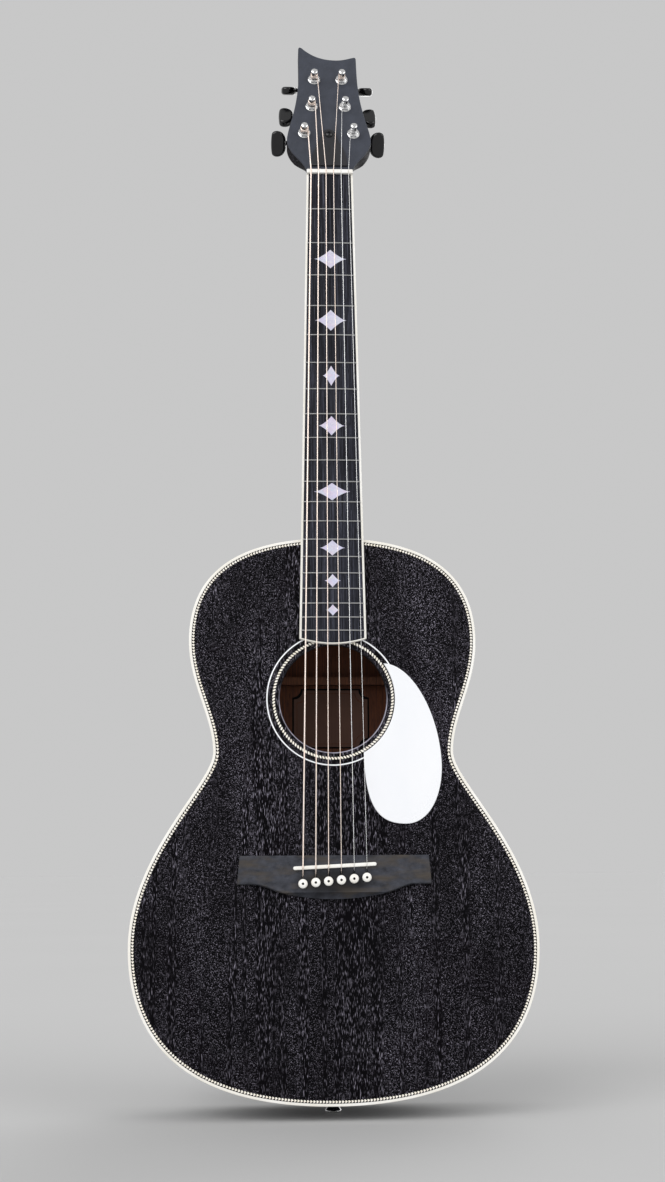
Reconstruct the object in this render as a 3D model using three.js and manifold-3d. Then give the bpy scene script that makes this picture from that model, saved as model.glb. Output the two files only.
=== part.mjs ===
// Steel-string acoustic guitar, grand-concert body, fourteen frets clear of the body.
// Millimetres. +Z runs up the neck, the soundboard faces -Y and +X is the treble side.
// The origin is the centre of the strap pin's end face, the lowest point of the guitar.
import * as THREE from "three";
import { mergeVertices } from "three/addons/utils/BufferGeometryUtils.js";
import Module from "manifold-3d";

const wasm = await Module();
wasm.setup();

// ---------------------------------------------------------------- driving dimensions

const GLUE = 0.2; // gap left at each glued or seated face
const SCALE_LENGTH = 628;
const NUT_Z = 845; // where the scale starts
const TAIL_Z = 12; // tail end of the body, one strap pin above the origin
const BODY_TOP_Z = 499;
const TOP_Y = -53; // front face of the soundboard
const HEEL_DEPTH = 84; // body depth where the neck joins
const TAIL_DEPTH = 106; // body depth at the strap pin

// Half outline of the body in x and z: tail, lower bout, waist, upper bout, shoulders.
const LOWER = { half: 175.9, z: 144 };
const WAIST = { half: 104.8, z: 308 };
const UPPER = { half: 126.8, z: 407 };
const OUTLINE_POINTS = 60;
const RING_SEGMENTS = 18; // half the sides of the soundhole and its rings

const SOUNDBOARD_THICK = 2.7;
const BACK_THICK = 2.7;
const SIDE_THICK = 2.3;
const BINDING = { wide: 2, deep: 6 };
const PURFLING = { wide: 3, deep: 1.4 };
const LINING = { wide: 6, deep: 14 };
const HOLE = { z: 355, radius: 47 };
const INNER_RING = { inner: 51, outer: 54, deep: 1.4 };
const OUTER_RING = { inner: 57.5, outer: 58.7, deep: 1.2 };
const PICKGUARD = { thick: 1.4, arc: 54.2 };

const BRACE = { wide: 8, high: 14, tip: 3 };
const X_CROSSING_Z = 276;

const BRIDGE = { top: 219.5, wing: 195, belly: 182.5, half: 81.5, flare: 83.6, high: 8.7 };
const SADDLE = { z: 210.3, long: 71.4, thick: 3, rise: 3.4, topY: -64.5, slotY: -57.5 };
const PIN = { spacing: 10.94, z: 198.2, rise: 5, head: 4, shank: 2.5, tipY: -42 };
const STRING_OFFSET = 3.9; // string beside its pin, towards the saddle

const FRET_COUNT = 20;
const FRET_TOP_Y = TOP_Y - 7;
const BOARD = { frontY: TOP_Y - 6, edgeZ: 407.6, midZ: 402.7, topZ: 844.4 };
const NUT_HALF = 21.45;
const BOARD_TAPER = 0.01857; // growth of the fingerboard's half width per millimetre
const BOARD_BINDING = 1.6;
const NUT = { thick: 4, topY: -61.7, slotY: -60.6, spacing: 7 };

const NECK_JOINT_Z = BODY_TOP_Z + 0.5;
const HEAD = { y: -56, z: 850, tilt: 13, veneer: 2, thick: 15.5 };
const ROD = { half: 3, frontY: -52.6, backY: -43.6, low: 520, high: 843 };

const POSTS = [
  { x: 23.2, h: 42.8, turn: 40 },
  { x: 15.8, h: 74.7, turn: -15 },
  { x: 13.2, h: 107.3, turn: -50 },
];
const WORM = { depth: 23.2, offset: 6, radius: 1.9 };
const POST = { radius: 3.1, waist: 2.6, top: -12, gear: 3.9 };
const HOUSING = { half: 8, low: -8.5, high: 14.5, back: 28.5, sleeve: 4.9, nut: 6.2 };
const BUTTON = { inner: 17, outer: 31.2, wide: 24, thick: 7.5 };

// From the bass side to the treble side: row is the post, counted up from the nut.
const STRINGS = [
  { name: "low_e", gauge: 1.35, side: -1, row: 0 },
  { name: "a", gauge: 1.07, side: -1, row: 1 },
  { name: "d", gauge: 0.81, side: -1, row: 2 },
  { name: "g", gauge: 0.61, side: 1, row: 2 },
  { name: "b", gauge: 0.41, side: 1, row: 1 },
  { name: "high_e", gauge: 0.31, side: 1, row: 0 },
];

// ---------------------------------------------------------------- materials

const paint = (color, roughness, metalness = 0) =>
  new THREE.MeshStandardMaterial({ color, roughness, metalness });

const black = paint(0x17151a, 0.45);
const mahogany = paint(0x6b4630, 0.65);
const spruce = paint(0xb99a6e, 0.75);
const ebony = paint(0x24262b, 0.5);
const cream = paint(0xe9e6dc, 0.4);
const herringbone = paint(0x8f8d8a, 0.5);
const white = paint(0xf1f1f3, 0.3);
const bone = paint(0xf4f2ea, 0.35);
const chrome = paint(0xd6d8dc, 0.15, 1);
const bronze = paint(0xb98f63, 0.35, 1);
const steel = paint(0xa9abb0, 0.3, 1);
const blackPlastic = paint(0x101114, 0.25);

// ---------------------------------------------------------------- geometry helpers

const guitar = new THREE.Group();
const head = new THREE.Group(); // z climbs the headstock's face, y goes into it
head.position.set(0, HEAD.y, HEAD.z);
head.rotation.x = THREE.MathUtils.degToRad(-HEAD.tilt);
guitar.add(head);

function solid(geometry) {
  const bare = geometry.clone();
  bare.deleteAttribute("normal");
  bare.deleteAttribute("uv");
  const merged = mergeVertices(bare, 1e-4);
  const mesh = new wasm.Mesh({
    numProp: 3,
    vertProperties: merged.attributes.position.array,
    triVerts: new Uint32Array(merged.index.array),
  });
  return new wasm.Manifold(mesh);
}

function piece(name, body, material, parent = guitar) {
  const { vertProperties, triVerts } = body.getMesh();
  const geometry = new THREE.BufferGeometry();
  geometry.setAttribute("position", new THREE.BufferAttribute(vertProperties, 3));
  geometry.setIndex(new THREE.BufferAttribute(triVerts, 1));
  geometry.computeVertexNormals();
  const mesh = new THREE.Mesh(geometry, material);
  mesh.name = name;
  parent.add(mesh);
}

const joined = (parts) => parts.reduce((whole, part) => whole.add(part));

// Turns a shape's own axes and its depth to the three world directions given.
function extruded(shape, depth, along, across, up, curveSegments) {
  const geometry = new THREE.ExtrudeGeometry(shape, { depth, bevelEnabled: false, curveSegments });
  const turn = new THREE.Matrix4().makeBasis(across, up, along);
  return geometry.applyMatrix4(turn);
}

const X = new THREE.Vector3(1, 0, 0);
const Y = new THREE.Vector3(0, 1, 0);
const Z = new THREE.Vector3(0, 0, 1);
const MINUS_Y = new THREE.Vector3(0, -1, 0);

// A plate whose shape is drawn in x and z, from yFront back to yBack.
function plate(shape, yFront, yBack, curveSegments = 12) {
  const geometry = extruded(shape, yBack - yFront, MINUS_Y, X, Z, curveSegments);
  return solid(geometry.translate(0, yBack, 0));
}

// A bar whose section is drawn in y and z, from x0 to x1.
const barX = (shape, x0, x1) => solid(extruded(shape, x1 - x0, X, Y, Z, 6).translate(x0, 0, 0));

// A bar whose section is drawn in x and y, from z0 to z1.
const barZ = (shape, z0, z1) => solid(extruded(shape, z1 - z0, Z, X, Y, 6).translate(0, 0, z0));

const polygon = (points) => new THREE.Shape(points.map(([a, b]) => new THREE.Vector2(a, b)));

function box(x0, x1, y0, y1, z0, z1) {
  const geometry = new THREE.BoxGeometry(x1 - x0, y1 - y0, z1 - z0);
  return solid(geometry.translate((x0 + x1) / 2, (y0 + y1) / 2, (z0 + z1) / 2));
}

// Round bar along y, centred on x and z.
function roundY(radius, y0, y1, x, z, sides = 12) {
  const geometry = new THREE.CylinderGeometry(radius, radius, y1 - y0, sides);
  return solid(geometry.translate(x, (y0 + y1) / 2, z));
}

// Turned piece: the profile holds [radius, height] pairs that start and end on the axis.
function turned(profile, sides) {
  const points = profile.map(([radius, height]) => new THREE.Vector2(radius, height));
  return new THREE.LatheGeometry(points, sides);
}

// A closed skin over rings of equal length, with flat ends.
function loft(rings) {
  const count = rings[0].length;
  const corners = [];
  const triangle = (a, b, c) => corners.push(...a.toArray(), ...b.toArray(), ...c.toArray());
  for (let r = 0; r + 1 < rings.length; r++) {
    for (let i = 0; i < count; i++) {
      const j = (i + 1) % count;
      triangle(rings[r][i], rings[r][j], rings[r + 1][j]);
      triangle(rings[r][i], rings[r + 1][j], rings[r + 1][i]);
    }
  }
  const last = rings[rings.length - 1];
  for (let i = 1; i + 1 < count; i++) {
    triangle(rings[0][0], rings[0][i + 1], rings[0][i]);
    triangle(last[0], last[i], last[i + 1]);
  }
  const geometry = new THREE.BufferGeometry();
  geometry.setAttribute("position", new THREE.Float32BufferAttribute(corners, 3));
  return solid(geometry);
}

// A route of straight stretches, with one step of an extrusion at each of its points.
class Route extends THREE.Curve {
  constructor(points) {
    super();
    this.points = points;
  }
  getPoint(t, target = new THREE.Vector3()) {
    const place = t * (this.points.length - 1);
    const i = Math.min(Math.floor(place), this.points.length - 2);
    return target.lerpVectors(this.points[i], this.points[i + 1], place - i);
  }
  getUtoTmapping(u) {
    return u;
  }
  getTangent(t, target = new THREE.Vector3()) {
    const i = Math.round(t * (this.points.length - 1));
    const before = this.points[Math.max(i - 1, 0)];
    const here = this.points[i];
    const after = this.points[Math.min(i + 1, this.points.length - 1)];
    const into = here.clone().sub(before).normalize();
    const away = after.clone().sub(here).normalize();
    return target.addVectors(into, away).normalize();
  }
}

function tube(points, radius, sides) {
  const round = new THREE.Shape();
  round.absarc(0, 0, radius, 0, 2 * Math.PI);
  const extrudePath = new Route(points);
  const steps = points.length - 1;
  const curveSegments = sides / 2;
  return solid(new THREE.ExtrudeGeometry(round, { steps, extrudePath, curveSegments }));
}

// ---------------------------------------------------------------- body outline

function bodyCurve() {
  const half = new THREE.CurvePath();
  const stretch = (...p) => {
    const [a, b, c, d] = p.map(([x, z]) => new THREE.Vector2(x, z));
    half.add(new THREE.CubicBezierCurve(a, b, c, d));
  };
  const { half: lower, z: lowerZ } = LOWER;
  const { half: waist, z: waistZ } = WAIST;
  const { half: upper, z: upperZ } = UPPER;
  stretch([0, TAIL_Z], [132, TAIL_Z], [lower, lowerZ - 73], [lower, lowerZ]);
  stretch([lower, lowerZ], [lower, lowerZ + 78], [waist, waistZ - 26], [waist, waistZ]);
  stretch([waist, waistZ], [waist, waistZ + 31], [upper, upperZ - 39], [upper, upperZ]);
  stretch([upper, upperZ], [upper, upperZ + 56], [91, BODY_TOP_Z], [0, BODY_TOP_Z]);
  return half;
}

// The body's outline pulled in by inset, anticlockwise from the tail.
function bodyOutline(inset) {
  const curve = bodyCurve();
  const count = OUTLINE_POINTS;
  const half = [];
  for (let i = 0; i <= count / 2; i++) {
    const u = i / (count / 2);
    const point = curve.getPointAt(u);
    const tangent = curve.getTangentAt(u);
    half.push([point.x - tangent.y * inset, point.y + tangent.x * inset]);
  }
  half[0][0] = 0;
  half[count / 2][0] = 0;
  const mirrored = half.slice(1, -1).reverse();
  return [...half, ...mirrored.map(([x, z]) => [-x, z])];
}

const bodyShape = (inset) => polygon(bodyOutline(inset));

function bodyRing(outerInset, innerInset) {
  const shape = bodyShape(outerInset);
  shape.holes.push(bodyShape(innerInset));
  return shape;
}

function ringShape(inner, outer, z) {
  const shape = new THREE.Shape();
  shape.absarc(0, z, outer, 0, 2 * Math.PI);
  const hole = new THREE.Path();
  hole.absarc(0, z, inner, 0, 2 * Math.PI);
  shape.holes.push(hole);
  return shape;
}

// Everything behind the sloping back's outer face, moved in by inset.
function behindBack(inset) {
  const rise = BODY_TOP_Z - TAIL_Z;
  const slope = Math.atan2(TAIL_DEPTH - HEEL_DEPTH, rise);
  const block = new THREE.BoxGeometry(600, 200, 1400).translate(0, 100 - inset, 0);
  block.rotateX(slope).translate(0, TOP_Y + TAIL_DEPTH, TAIL_Z);
  return solid(block);
}

const DEEP = 70; // well behind the back
const INSIDE_BACK = BACK_THICK + GLUE;

// ---------------------------------------------------------------- soundbox

function makeSoundboard() {
  const shape = bodyShape(BINDING.wide + GLUE);
  const hole = new THREE.Path();
  hole.absarc(0, HOLE.z, HOLE.radius, 0, 2 * Math.PI);
  shape.holes.push(hole);
  let board = plate(shape, TOP_Y, TOP_Y + SOUNDBOARD_THICK, RING_SEGMENTS);
  const ledge = bodyRing(0, BINDING.wide + PURFLING.wide + 2 * GLUE);
  board = board.subtract(plate(ledge, TOP_Y - 1, TOP_Y + PURFLING.deep + GLUE));
  for (const ring of [INNER_RING, OUTER_RING]) {
    const groove = ringShape(ring.inner - GLUE, ring.outer + GLUE, HOLE.z);
    board = board.subtract(plate(groove, TOP_Y - 1, TOP_Y + ring.deep + GLUE, RING_SEGMENTS));
  }
  piece("soundboard", board.subtract(pinHoles()), black);
}

function makeEdgeTrim() {
  const ring = bodyRing(0, BINDING.wide);
  piece("top_binding", plate(ring, TOP_Y, TOP_Y + BINDING.deep), cream);
  const back = plate(ring, 0, DEEP).subtract(behindBack(0));
  piece("back_binding", back.intersect(behindBack(BINDING.deep)), cream);
  const inlay = bodyRing(BINDING.wide + GLUE, BINDING.wide + PURFLING.wide + GLUE);
  piece("top_purfling", plate(inlay, TOP_Y, TOP_Y + PURFLING.deep), herringbone);
}

function makeRosette() {
  const inner = ringShape(INNER_RING.inner, INNER_RING.outer, HOLE.z);
  const outer = ringShape(OUTER_RING.inner, OUTER_RING.outer, HOLE.z);
  piece("rosette_inner", plate(inner, TOP_Y, TOP_Y + INNER_RING.deep, RING_SEGMENTS), herringbone);
  piece("rosette_outer", plate(outer, TOP_Y, TOP_Y + OUTER_RING.deep, RING_SEGMENTS), white);
}

function makeSides() {
  const front = TOP_Y + BINDING.deep + GLUE;
  const rim = plate(bodyRing(0, SIDE_THICK), front, DEEP)
    .subtract(behindBack(BINDING.deep + GLUE))
    .subtract(strapScrewHole());
  const seam = GLUE / 2;
  piece("side_bass", rim.subtract(box(-seam, 300, -100, 100, 0, 600)), black);
  piece("side_treble", rim.subtract(box(-300, seam, -100, 100, 0, 600)), black);
}

function makeBack() {
  const whole = plate(bodyShape(BINDING.wide + GLUE), 0, DEEP);
  const back = whole.subtract(behindBack(0)).intersect(behindBack(BACK_THICK));
  piece("back", back, black);
}

const UNDER_TOP = TOP_Y + SOUNDBOARD_THICK + GLUE;
const LINING_OUT = SIDE_THICK + GLUE;

function liningRing(slack) {
  return bodyRing(LINING_OUT - slack, LINING_OUT + LINING.wide + slack);
}

function makeLinings() {
  const top = plate(liningRing(0), UNDER_TOP, UNDER_TOP + LINING.deep);
  const back = plate(liningRing(0), 0, DEEP)
    .subtract(behindBack(INSIDE_BACK))
    .intersect(behindBack(INSIDE_BACK + LINING.deep));
  piece("lining_top", top, spruce);
  piece("lining_back", back, spruce);
}

// Neck and tail blocks fill the depth of the body and are notched round the linings.
function makeEndBlock(name, half, z0, z1) {
  const space = plate(bodyShape(LINING_OUT + 0.4), UNDER_TOP, DEEP).subtract(behindBack(INSIDE_BACK));
  const front = plate(liningRing(0.5), UNDER_TOP - 1, UNDER_TOP + LINING.deep + GLUE);
  const back = plate(liningRing(0.5), 0, DEEP).intersect(behindBack(INSIDE_BACK + LINING.deep + GLUE));
  const block = space.intersect(box(-half, half, -100, 100, z0, z1));
  piece(name, block.subtract(front).subtract(back).subtract(strapScrewHole()), mahogany);
}

// ---------------------------------------------------------------- braces and bridge plate

// Side view of a brace: full height between two long tapers.
function braceProfile(from, to, high) {
  const taper = 45;
  return [
    [from, 0],
    [to, 0],
    [to, BRACE.tip],
    [to - taper, high],
    [from + taper, high],
    [from, BRACE.tip],
  ];
}

// A brace on the soundboard, from one distance to another along a line at an angle to +x.
function topBrace(from, to, degrees, z) {
  const shape = polygon(braceProfile(from, to, BRACE.high));
  const bar = extruded(shape, BRACE.wide, Z, X, Y, 1).translate(0, UNDER_TOP, -BRACE.wide / 2);
  bar.rotateY(THREE.MathUtils.degToRad(-degrees)).translate(0, 0, z);
  return solid(bar);
}

function makeXBraces() {
  const half = BRACE.wide / 2 + GLUE;
  const middle = UNDER_TOP + BRACE.high / 2;
  const lap = (y0, y1) => solid(
    new THREE.BoxGeometry(4 * half, y1 - y0, 2 * half).translate(0, (y0 + y1) / 2, 0),
  );
  const turn = (body, degrees) => body.rotate([0, degrees, 0]).translate([0, 0, X_CROSSING_Z]);
  const notchFront = lap(UNDER_TOP - 1, middle + GLUE / 2);
  const notchBack = lap(middle - GLUE / 2, UNDER_TOP + BRACE.high + 1);
  const bass = topBrace(-202, 151, 135, X_CROSSING_Z);
  const treble = topBrace(-202, 151, 45, X_CROSSING_Z);
  piece("x_brace_bass", bass.subtract(turn(notchFront, -45)), spruce);
  piece("x_brace_treble", treble.subtract(turn(notchBack, -135)), spruce);
}

function makeCrossBraces() {
  piece("transverse_brace", topBrace(-115, 115, 0, 421), spruce);
  const slope = Math.atan2(TAIL_DEPTH - HEEL_DEPTH, BODY_TOP_Z - TAIL_Z);
  const backBrace = (half, z, wide) => {
    const shape = polygon(braceProfile(-half, half, BRACE.high));
    const bar = extruded(shape, wide, Z, X, Y, 1).translate(0, 0, -wide / 2);
    const out = TOP_Y + TAIL_DEPTH - (z - TAIL_Z) * Math.tan(slope) - INSIDE_BACK / Math.cos(slope);
    bar.rotateZ(Math.PI).rotateX(slope).translate(0, out, z);
    return solid(bar);
  };
  piece("back_brace_upper", backBrace(105, 380, 7), mahogany);
  piece("back_brace_lower", backBrace(145, 205, 16), mahogany);
}

function makeBridgePlate() {
  const shape = polygon([[-84, 178], [84, 178], [50, 215], [-50, 215]]);
  const body = plate(shape, UNDER_TOP, UNDER_TOP + 2.5);
  piece("bridge_plate", body.subtract(pinHoles()), mahogany);
}

// ---------------------------------------------------------------- bridge, saddle and pins

const pinX = (i) => (i - (STRINGS.length - 1) / 2) * PIN.spacing;
const pinZ = (i) => PIN.z + (pinX(i) * PIN.rise) / (5 * PIN.spacing);
const saddleZ = (x) => SADDLE.z + (x * SADDLE.rise) / SADDLE.long;

// Each pin's round hole, with the notch its string comes up through.
function pinHoles() {
  return joined(STRINGS.map((_, i) => {
    const x = pinX(i);
    const z = pinZ(i);
    const notch = box(x - 0.95, x + 0.95, -75, -40, z, z + STRING_OFFSET + 0.95);
    return roundY(PIN.shank + 0.3, -75, -40, x, z).add(notch);
  }));
}

function saddleBar(slack, yFront, yBack) {
  const reach = SADDLE.long / 2 - SADDLE.thick / 2;
  const radius = SADDLE.thick / 2 + slack;
  const shape = new THREE.Shape();
  shape.absarc(-reach, 0, radius, Math.PI / 2, (3 * Math.PI) / 2);
  shape.absarc(reach, 0, radius, -Math.PI / 2, Math.PI / 2);
  const slant = -THREE.MathUtils.radToDeg(Math.atan2(SADDLE.rise, SADDLE.long));
  return plate(shape, yFront, yBack, 8).rotate([0, slant, 0]).translate([0, 0, SADDLE.z]);
}

function makeBridge() {
  const back = TOP_Y - GLUE;
  const front = back - BRIDGE.high;
  const plan = new THREE.Shape();
  plan.moveTo(BRIDGE.half, BRIDGE.top);
  plan.lineTo(-BRIDGE.half, BRIDGE.top);
  plan.lineTo(-BRIDGE.flare, BRIDGE.wing);
  plan.lineTo(-65, BRIDGE.wing);
  plan.bezierCurveTo(-52, BRIDGE.wing - 1, -50, BRIDGE.belly, -32, BRIDGE.belly);
  plan.lineTo(32, BRIDGE.belly);
  plan.bezierCurveTo(50, BRIDGE.belly, 52, BRIDGE.wing - 1, 65, BRIDGE.wing);
  plan.lineTo(BRIDGE.flare, BRIDGE.wing);
  const wings = polygon([[-84, back], [84, back], [84, -57], [62, front], [-62, front], [-84, -57]]);
  const section = polygon([
    [back, 180],
    [back, 221],
    [front + 1.5, 221],
    [front, 217.5],
    [front, BRIDGE.belly + 5],
    [front + 4.5, BRIDGE.belly - 0.5],
  ]);
  let bridge = plate(plan, front, back, 6);
  bridge = bridge.intersect(barZ(wings, 170, 230)).intersect(barX(section, -90, 90));
  bridge = bridge.subtract(saddleBar(0.15, -70, SADDLE.slotY)).subtract(pinHoles());
  STRINGS.forEach((_, i) => {
    const x = pinX(i);
    const ramp = box(x - 0.95, x + 0.95, front - 2, front + 2.9, pinZ(i), pinZ(i) + 8.2);
    bridge = bridge.subtract(ramp);
  });
  piece("bridge", bridge, ebony);
}

function makeBridgePins() {
  const seat = TOP_Y - GLUE - BRIDGE.high - GLUE;
  const profile = [
    [0, seat - 3.2],
    [2.6, seat - 2.8],
    [PIN.head, seat - 1.2],
    [PIN.head, seat - 0.5],
    [3.4, seat],
    [PIN.shank, seat],
    [PIN.shank - 0.3, PIN.tipY - 1],
    [1.2, PIN.tipY],
    [0, PIN.tipY],
  ];
  STRINGS.forEach(({ name }, i) => {
    const pin = solid(turned(profile, 12).translate(pinX(i), 0, pinZ(i)));
    piece(`bridge_pin_${name}`, pin, bone);
  });
}

function makePickguard() {
  const foot = THREE.MathUtils.degToRad(-60.8);
  const tip = THREE.MathUtils.degToRad(34.8);
  const onArc = (angle) => [PICKGUARD.arc * Math.cos(angle), HOLE.z + PICKGUARD.arc * Math.sin(angle)];
  const shape = new THREE.Shape();
  shape.moveTo(...onArc(tip));
  shape.bezierCurveTo(68, 386, 93, 345, 94.5, 297);
  shape.bezierCurveTo(94.5, 268, 82, 246, 62.6, 246);
  shape.bezierCurveTo(40, 246, 27, 258, ...onArc(foot));
  shape.absarc(0, HOLE.z, PICKGUARD.arc, foot, tip);
  const back = TOP_Y - GLUE;
  piece("pickguard", plate(shape, back - PICKGUARD.thick, back, 10), white);
}

function strapScrewHole() {
  const bore = new THREE.CylinderGeometry(2.6, 2.6, 40, 16).rotateX(Math.PI / 2);
  return solid(bore.translate(0, 0, TAIL_Z + 8));
}

function makeStrapPin() {
  const seat = TAIL_Z - GLUE;
  const profile = [
    [0, 0],
    [6.2, 0],
    [7, 0.8],
    [7, 2.4],
    [4.2, 5],
    [4.2, 9],
    [6, seat],
    [2.4, seat],
    [2.4, seat + 20],
    [0, seat + 24],
  ];
  piece("strap_pin", solid(turned(profile, 24).rotateX(Math.PI / 2)), chrome);
}

// ---------------------------------------------------------------- neck and fingerboard

const boardHalf = (z) => NUT_HALF + BOARD_TAPER * (NUT_Z - z);
const fretZ = (n) => NUT_Z - SCALE_LENGTH * (1 - 2 ** (-n / 12));

// Round end of the fingerboard, from the treble edge to the bass edge.
function boardEnd(inset) {
  const half = boardHalf(BOARD.edgeZ) - inset;
  const points = [];
  for (let i = 0; i <= 8; i++) {
    const x = half * (1 - i / 4);
    const sag = (BOARD.edgeZ - BOARD.midZ) * (1 - (x / half) ** 2);
    points.push([x, BOARD.edgeZ - sag + inset]);
  }
  return points;
}

const boardTop = (inset) => boardHalf(BOARD.topZ) - inset;

function makeFingerboard() {
  const inset = BOARD_BINDING + 0.1;
  const outline = [...boardEnd(inset), [-boardTop(inset), BOARD.topZ], [boardTop(inset), BOARD.topZ]];
  const back = TOP_Y - GLUE;
  const parts = [plate(polygon(outline.reverse()), BOARD.frontY, back)];
  for (let n = 1; n <= FRET_COUNT; n++) {
    const z = fretZ(n);
    const half = boardHalf(z) - inset - 0.1;
    const crown = polygon([
      [BOARD.frontY + 0.5, z - 1],
      [BOARD.frontY + 0.5, z + 1],
      [FRET_TOP_Y + 0.3, z + 1],
      [FRET_TOP_Y, z],
      [FRET_TOP_Y + 0.3, z - 1],
    ]);
    parts.push(barX(crown, -half, half));
  }
  piece("fingerboard", joined(parts), ebony);
  const rim = [
    [boardTop(0), BOARD.topZ],
    ...boardEnd(0),
    [-boardTop(0), BOARD.topZ],
    [-boardTop(BOARD_BINDING), BOARD.topZ],
    ...boardEnd(BOARD_BINDING).reverse(),
    [boardTop(BOARD_BINDING), BOARD.topZ],
  ];
  piece("fingerboard_binding", plate(polygon(rim), BOARD.frontY, back), cream);
}

const nutX = (i) => (i - (STRINGS.length - 1) / 2) * NUT.spacing;

function makeNut() {
  const low = BOARD.topZ + GLUE;
  let nut = box(-NUT_HALF, NUT_HALF, NUT.topY, TOP_Y - GLUE, low, low + NUT.thick);
  STRINGS.forEach(({ gauge }, i) => {
    const half = gauge / 2 + 0.15;
    const slot = box(nutX(i) - half, nutX(i) + half, NUT.topY - 1, NUT.slotY, low - 1, low + 9);
    nut = nut.subtract(slot);
  });
  piece("nut", nut, bone);
}

// Flat-fronted, round-backed section of the neck.
function neckSection(z, half, front, deep) {
  const ring = [];
  const steps = 14;
  for (let i = 0; i <= steps; i++) {
    const angle = (Math.PI * i) / steps;
    const fuller = (value) => Math.sign(value) * Math.abs(value) ** 0.85;
    ring.push(new THREE.Vector3(half * fuller(Math.cos(angle)), front + deep * fuller(Math.sin(angle)), z));
  }
  return ring;
}

function neckShaft() {
  const section = (z, deep) => neckSection(z, boardHalf(z), TOP_Y, deep);
  return loft([
    section(NECK_JOINT_Z, 18),
    section(620, 17.5),
    section(820, 15.2),
    neckSection(850, 21.4, TOP_Y + 0.4, 15.6),
    neckSection(864, 22, TOP_Y + 3.5, 14.6),
    neckSection(880, 20, TOP_Y + 8, 9),
  ]);
}

// Heel: level sections that shorten and narrow towards the back of the body.
function heel() {
  const levels = [
    { y: -50, half: 27, long: 80 },
    { y: -40, half: 26.5, long: 66 },
    { y: -34, half: 25, long: 48 },
    { y: -26, half: 22.5, long: 36 },
    { y: -14, half: 19, long: 29 },
    { y: 4, half: 15.5, long: 25 },
    { y: 27, half: 12.5, long: 20 },
  ];
  const steps = 14;
  return loft(levels.map(({ y, half, long }) => {
    const ring = [];
    for (let i = 0; i <= steps; i++) {
      const angle = (Math.PI * i) / steps;
      ring.push(new THREE.Vector3(-half * Math.cos(angle), y, NECK_JOINT_Z + long * Math.sin(angle)));
    }
    return ring;
  }));
}

function headOutline() {
  const shape = new THREE.Shape();
  shape.moveTo(-21.3, -3);
  shape.bezierCurveTo(-22, 12, -40, 18, -39.6, 36);
  shape.bezierCurveTo(-38.3, 52, -29.2, 70, -28, 112);
  shape.lineTo(-28.2, 144);
  shape.quadraticCurveTo(-27.6, 148, -24.5, 145.8);
  shape.bezierCurveTo(-17, 138, -8, 131.5, 8, 131.5);
  shape.bezierCurveTo(16, 131.5, 22, 134.6, 25.5, 135.2);
  shape.quadraticCurveTo(27.6, 135.4, 27.6, 133);
  shape.lineTo(28, 112);
  shape.bezierCurveTo(29.2, 70, 38.3, 52, 39.6, 36);
  shape.bezierCurveTo(40, 18, 22, 12, 21.3, -3);
  return shape;
}

// The six holes for the tuners' sleeves, in the headstock's own frame.
function tunerHoles() {
  return joined(STRINGS.map(({ side, row }) => {
    const { x, h } = POSTS[row];
    return roundY(HOUSING.sleeve + GLUE, -5, HEAD.thick + 5, side * x, h);
  }));
}

// Pocket for the truss rod's adjusting nut, open to the nut end.
const rodPocket = () => box(-5, 5, -2, 10, -8, 30);

const inHead = (body) => body.rotate([-HEAD.tilt, 0, 0]).translate([0, HEAD.y, HEAD.z]);

function makeNeck() {
  const headstock = plate(headOutline(), HEAD.veneer + GLUE, HEAD.thick, 6);
  const front = box(-60, 60, -100, TOP_Y, 800, BOARD.topZ + NUT.thick + GLUE);
  const channel = box(-ROD.half - GLUE, ROD.half + GLUE, TOP_Y - 1, ROD.backY + GLUE, 515, 862);
  const whole = neckShaft().add(heel()).add(inHead(headstock));
  const neck = whole.subtract(front).subtract(channel).subtract(inHead(tunerHoles().add(rodPocket())));
  const overVeneer = inHead(box(-60, 60, -20, HEAD.veneer + GLUE, -10, 160));
  piece("neck", neck.subtract(overVeneer), mahogany);
}

function makeHeadstockVeneer() {
  const veneer = plate(headOutline(), 0, HEAD.veneer, 6).subtract(tunerHoles()).subtract(rodPocket());
  const nutSpace = box(-60, 60, -100, 0, 800, BOARD.topZ + NUT.thick + 2 * GLUE);
  piece("headstock_veneer", inHead(veneer).subtract(nutSpace), ebony);
}

function makeTrussRod() {
  const bar = box(-ROD.half, ROD.half, ROD.frontY, ROD.backY, ROD.low, ROD.high);
  const nut = new THREE.CylinderGeometry(2.8, 2.8, 19, 12).rotateX(Math.PI / 2);
  piece("truss_rod", bar.add(solid(nut.translate(0, -48.4, ROD.high + 9))), steel);
}

function makeTrussRodCover() {
  const shape = new THREE.Shape();
  shape.moveTo(-16.8, 4);
  shape.bezierCurveTo(-16.8, 22, -10, 28, -6.4, 40);
  shape.absarc(0, 40, 6.4, Math.PI, 0, true);
  shape.bezierCurveTo(10, 28, 16.8, 22, 16.8, 4);
  piece("truss_rod_cover", plate(shape, -GLUE - 1.8, -GLUE, 8), blackPlastic, head);
}

// ---------------------------------------------------------------- tuners

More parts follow.
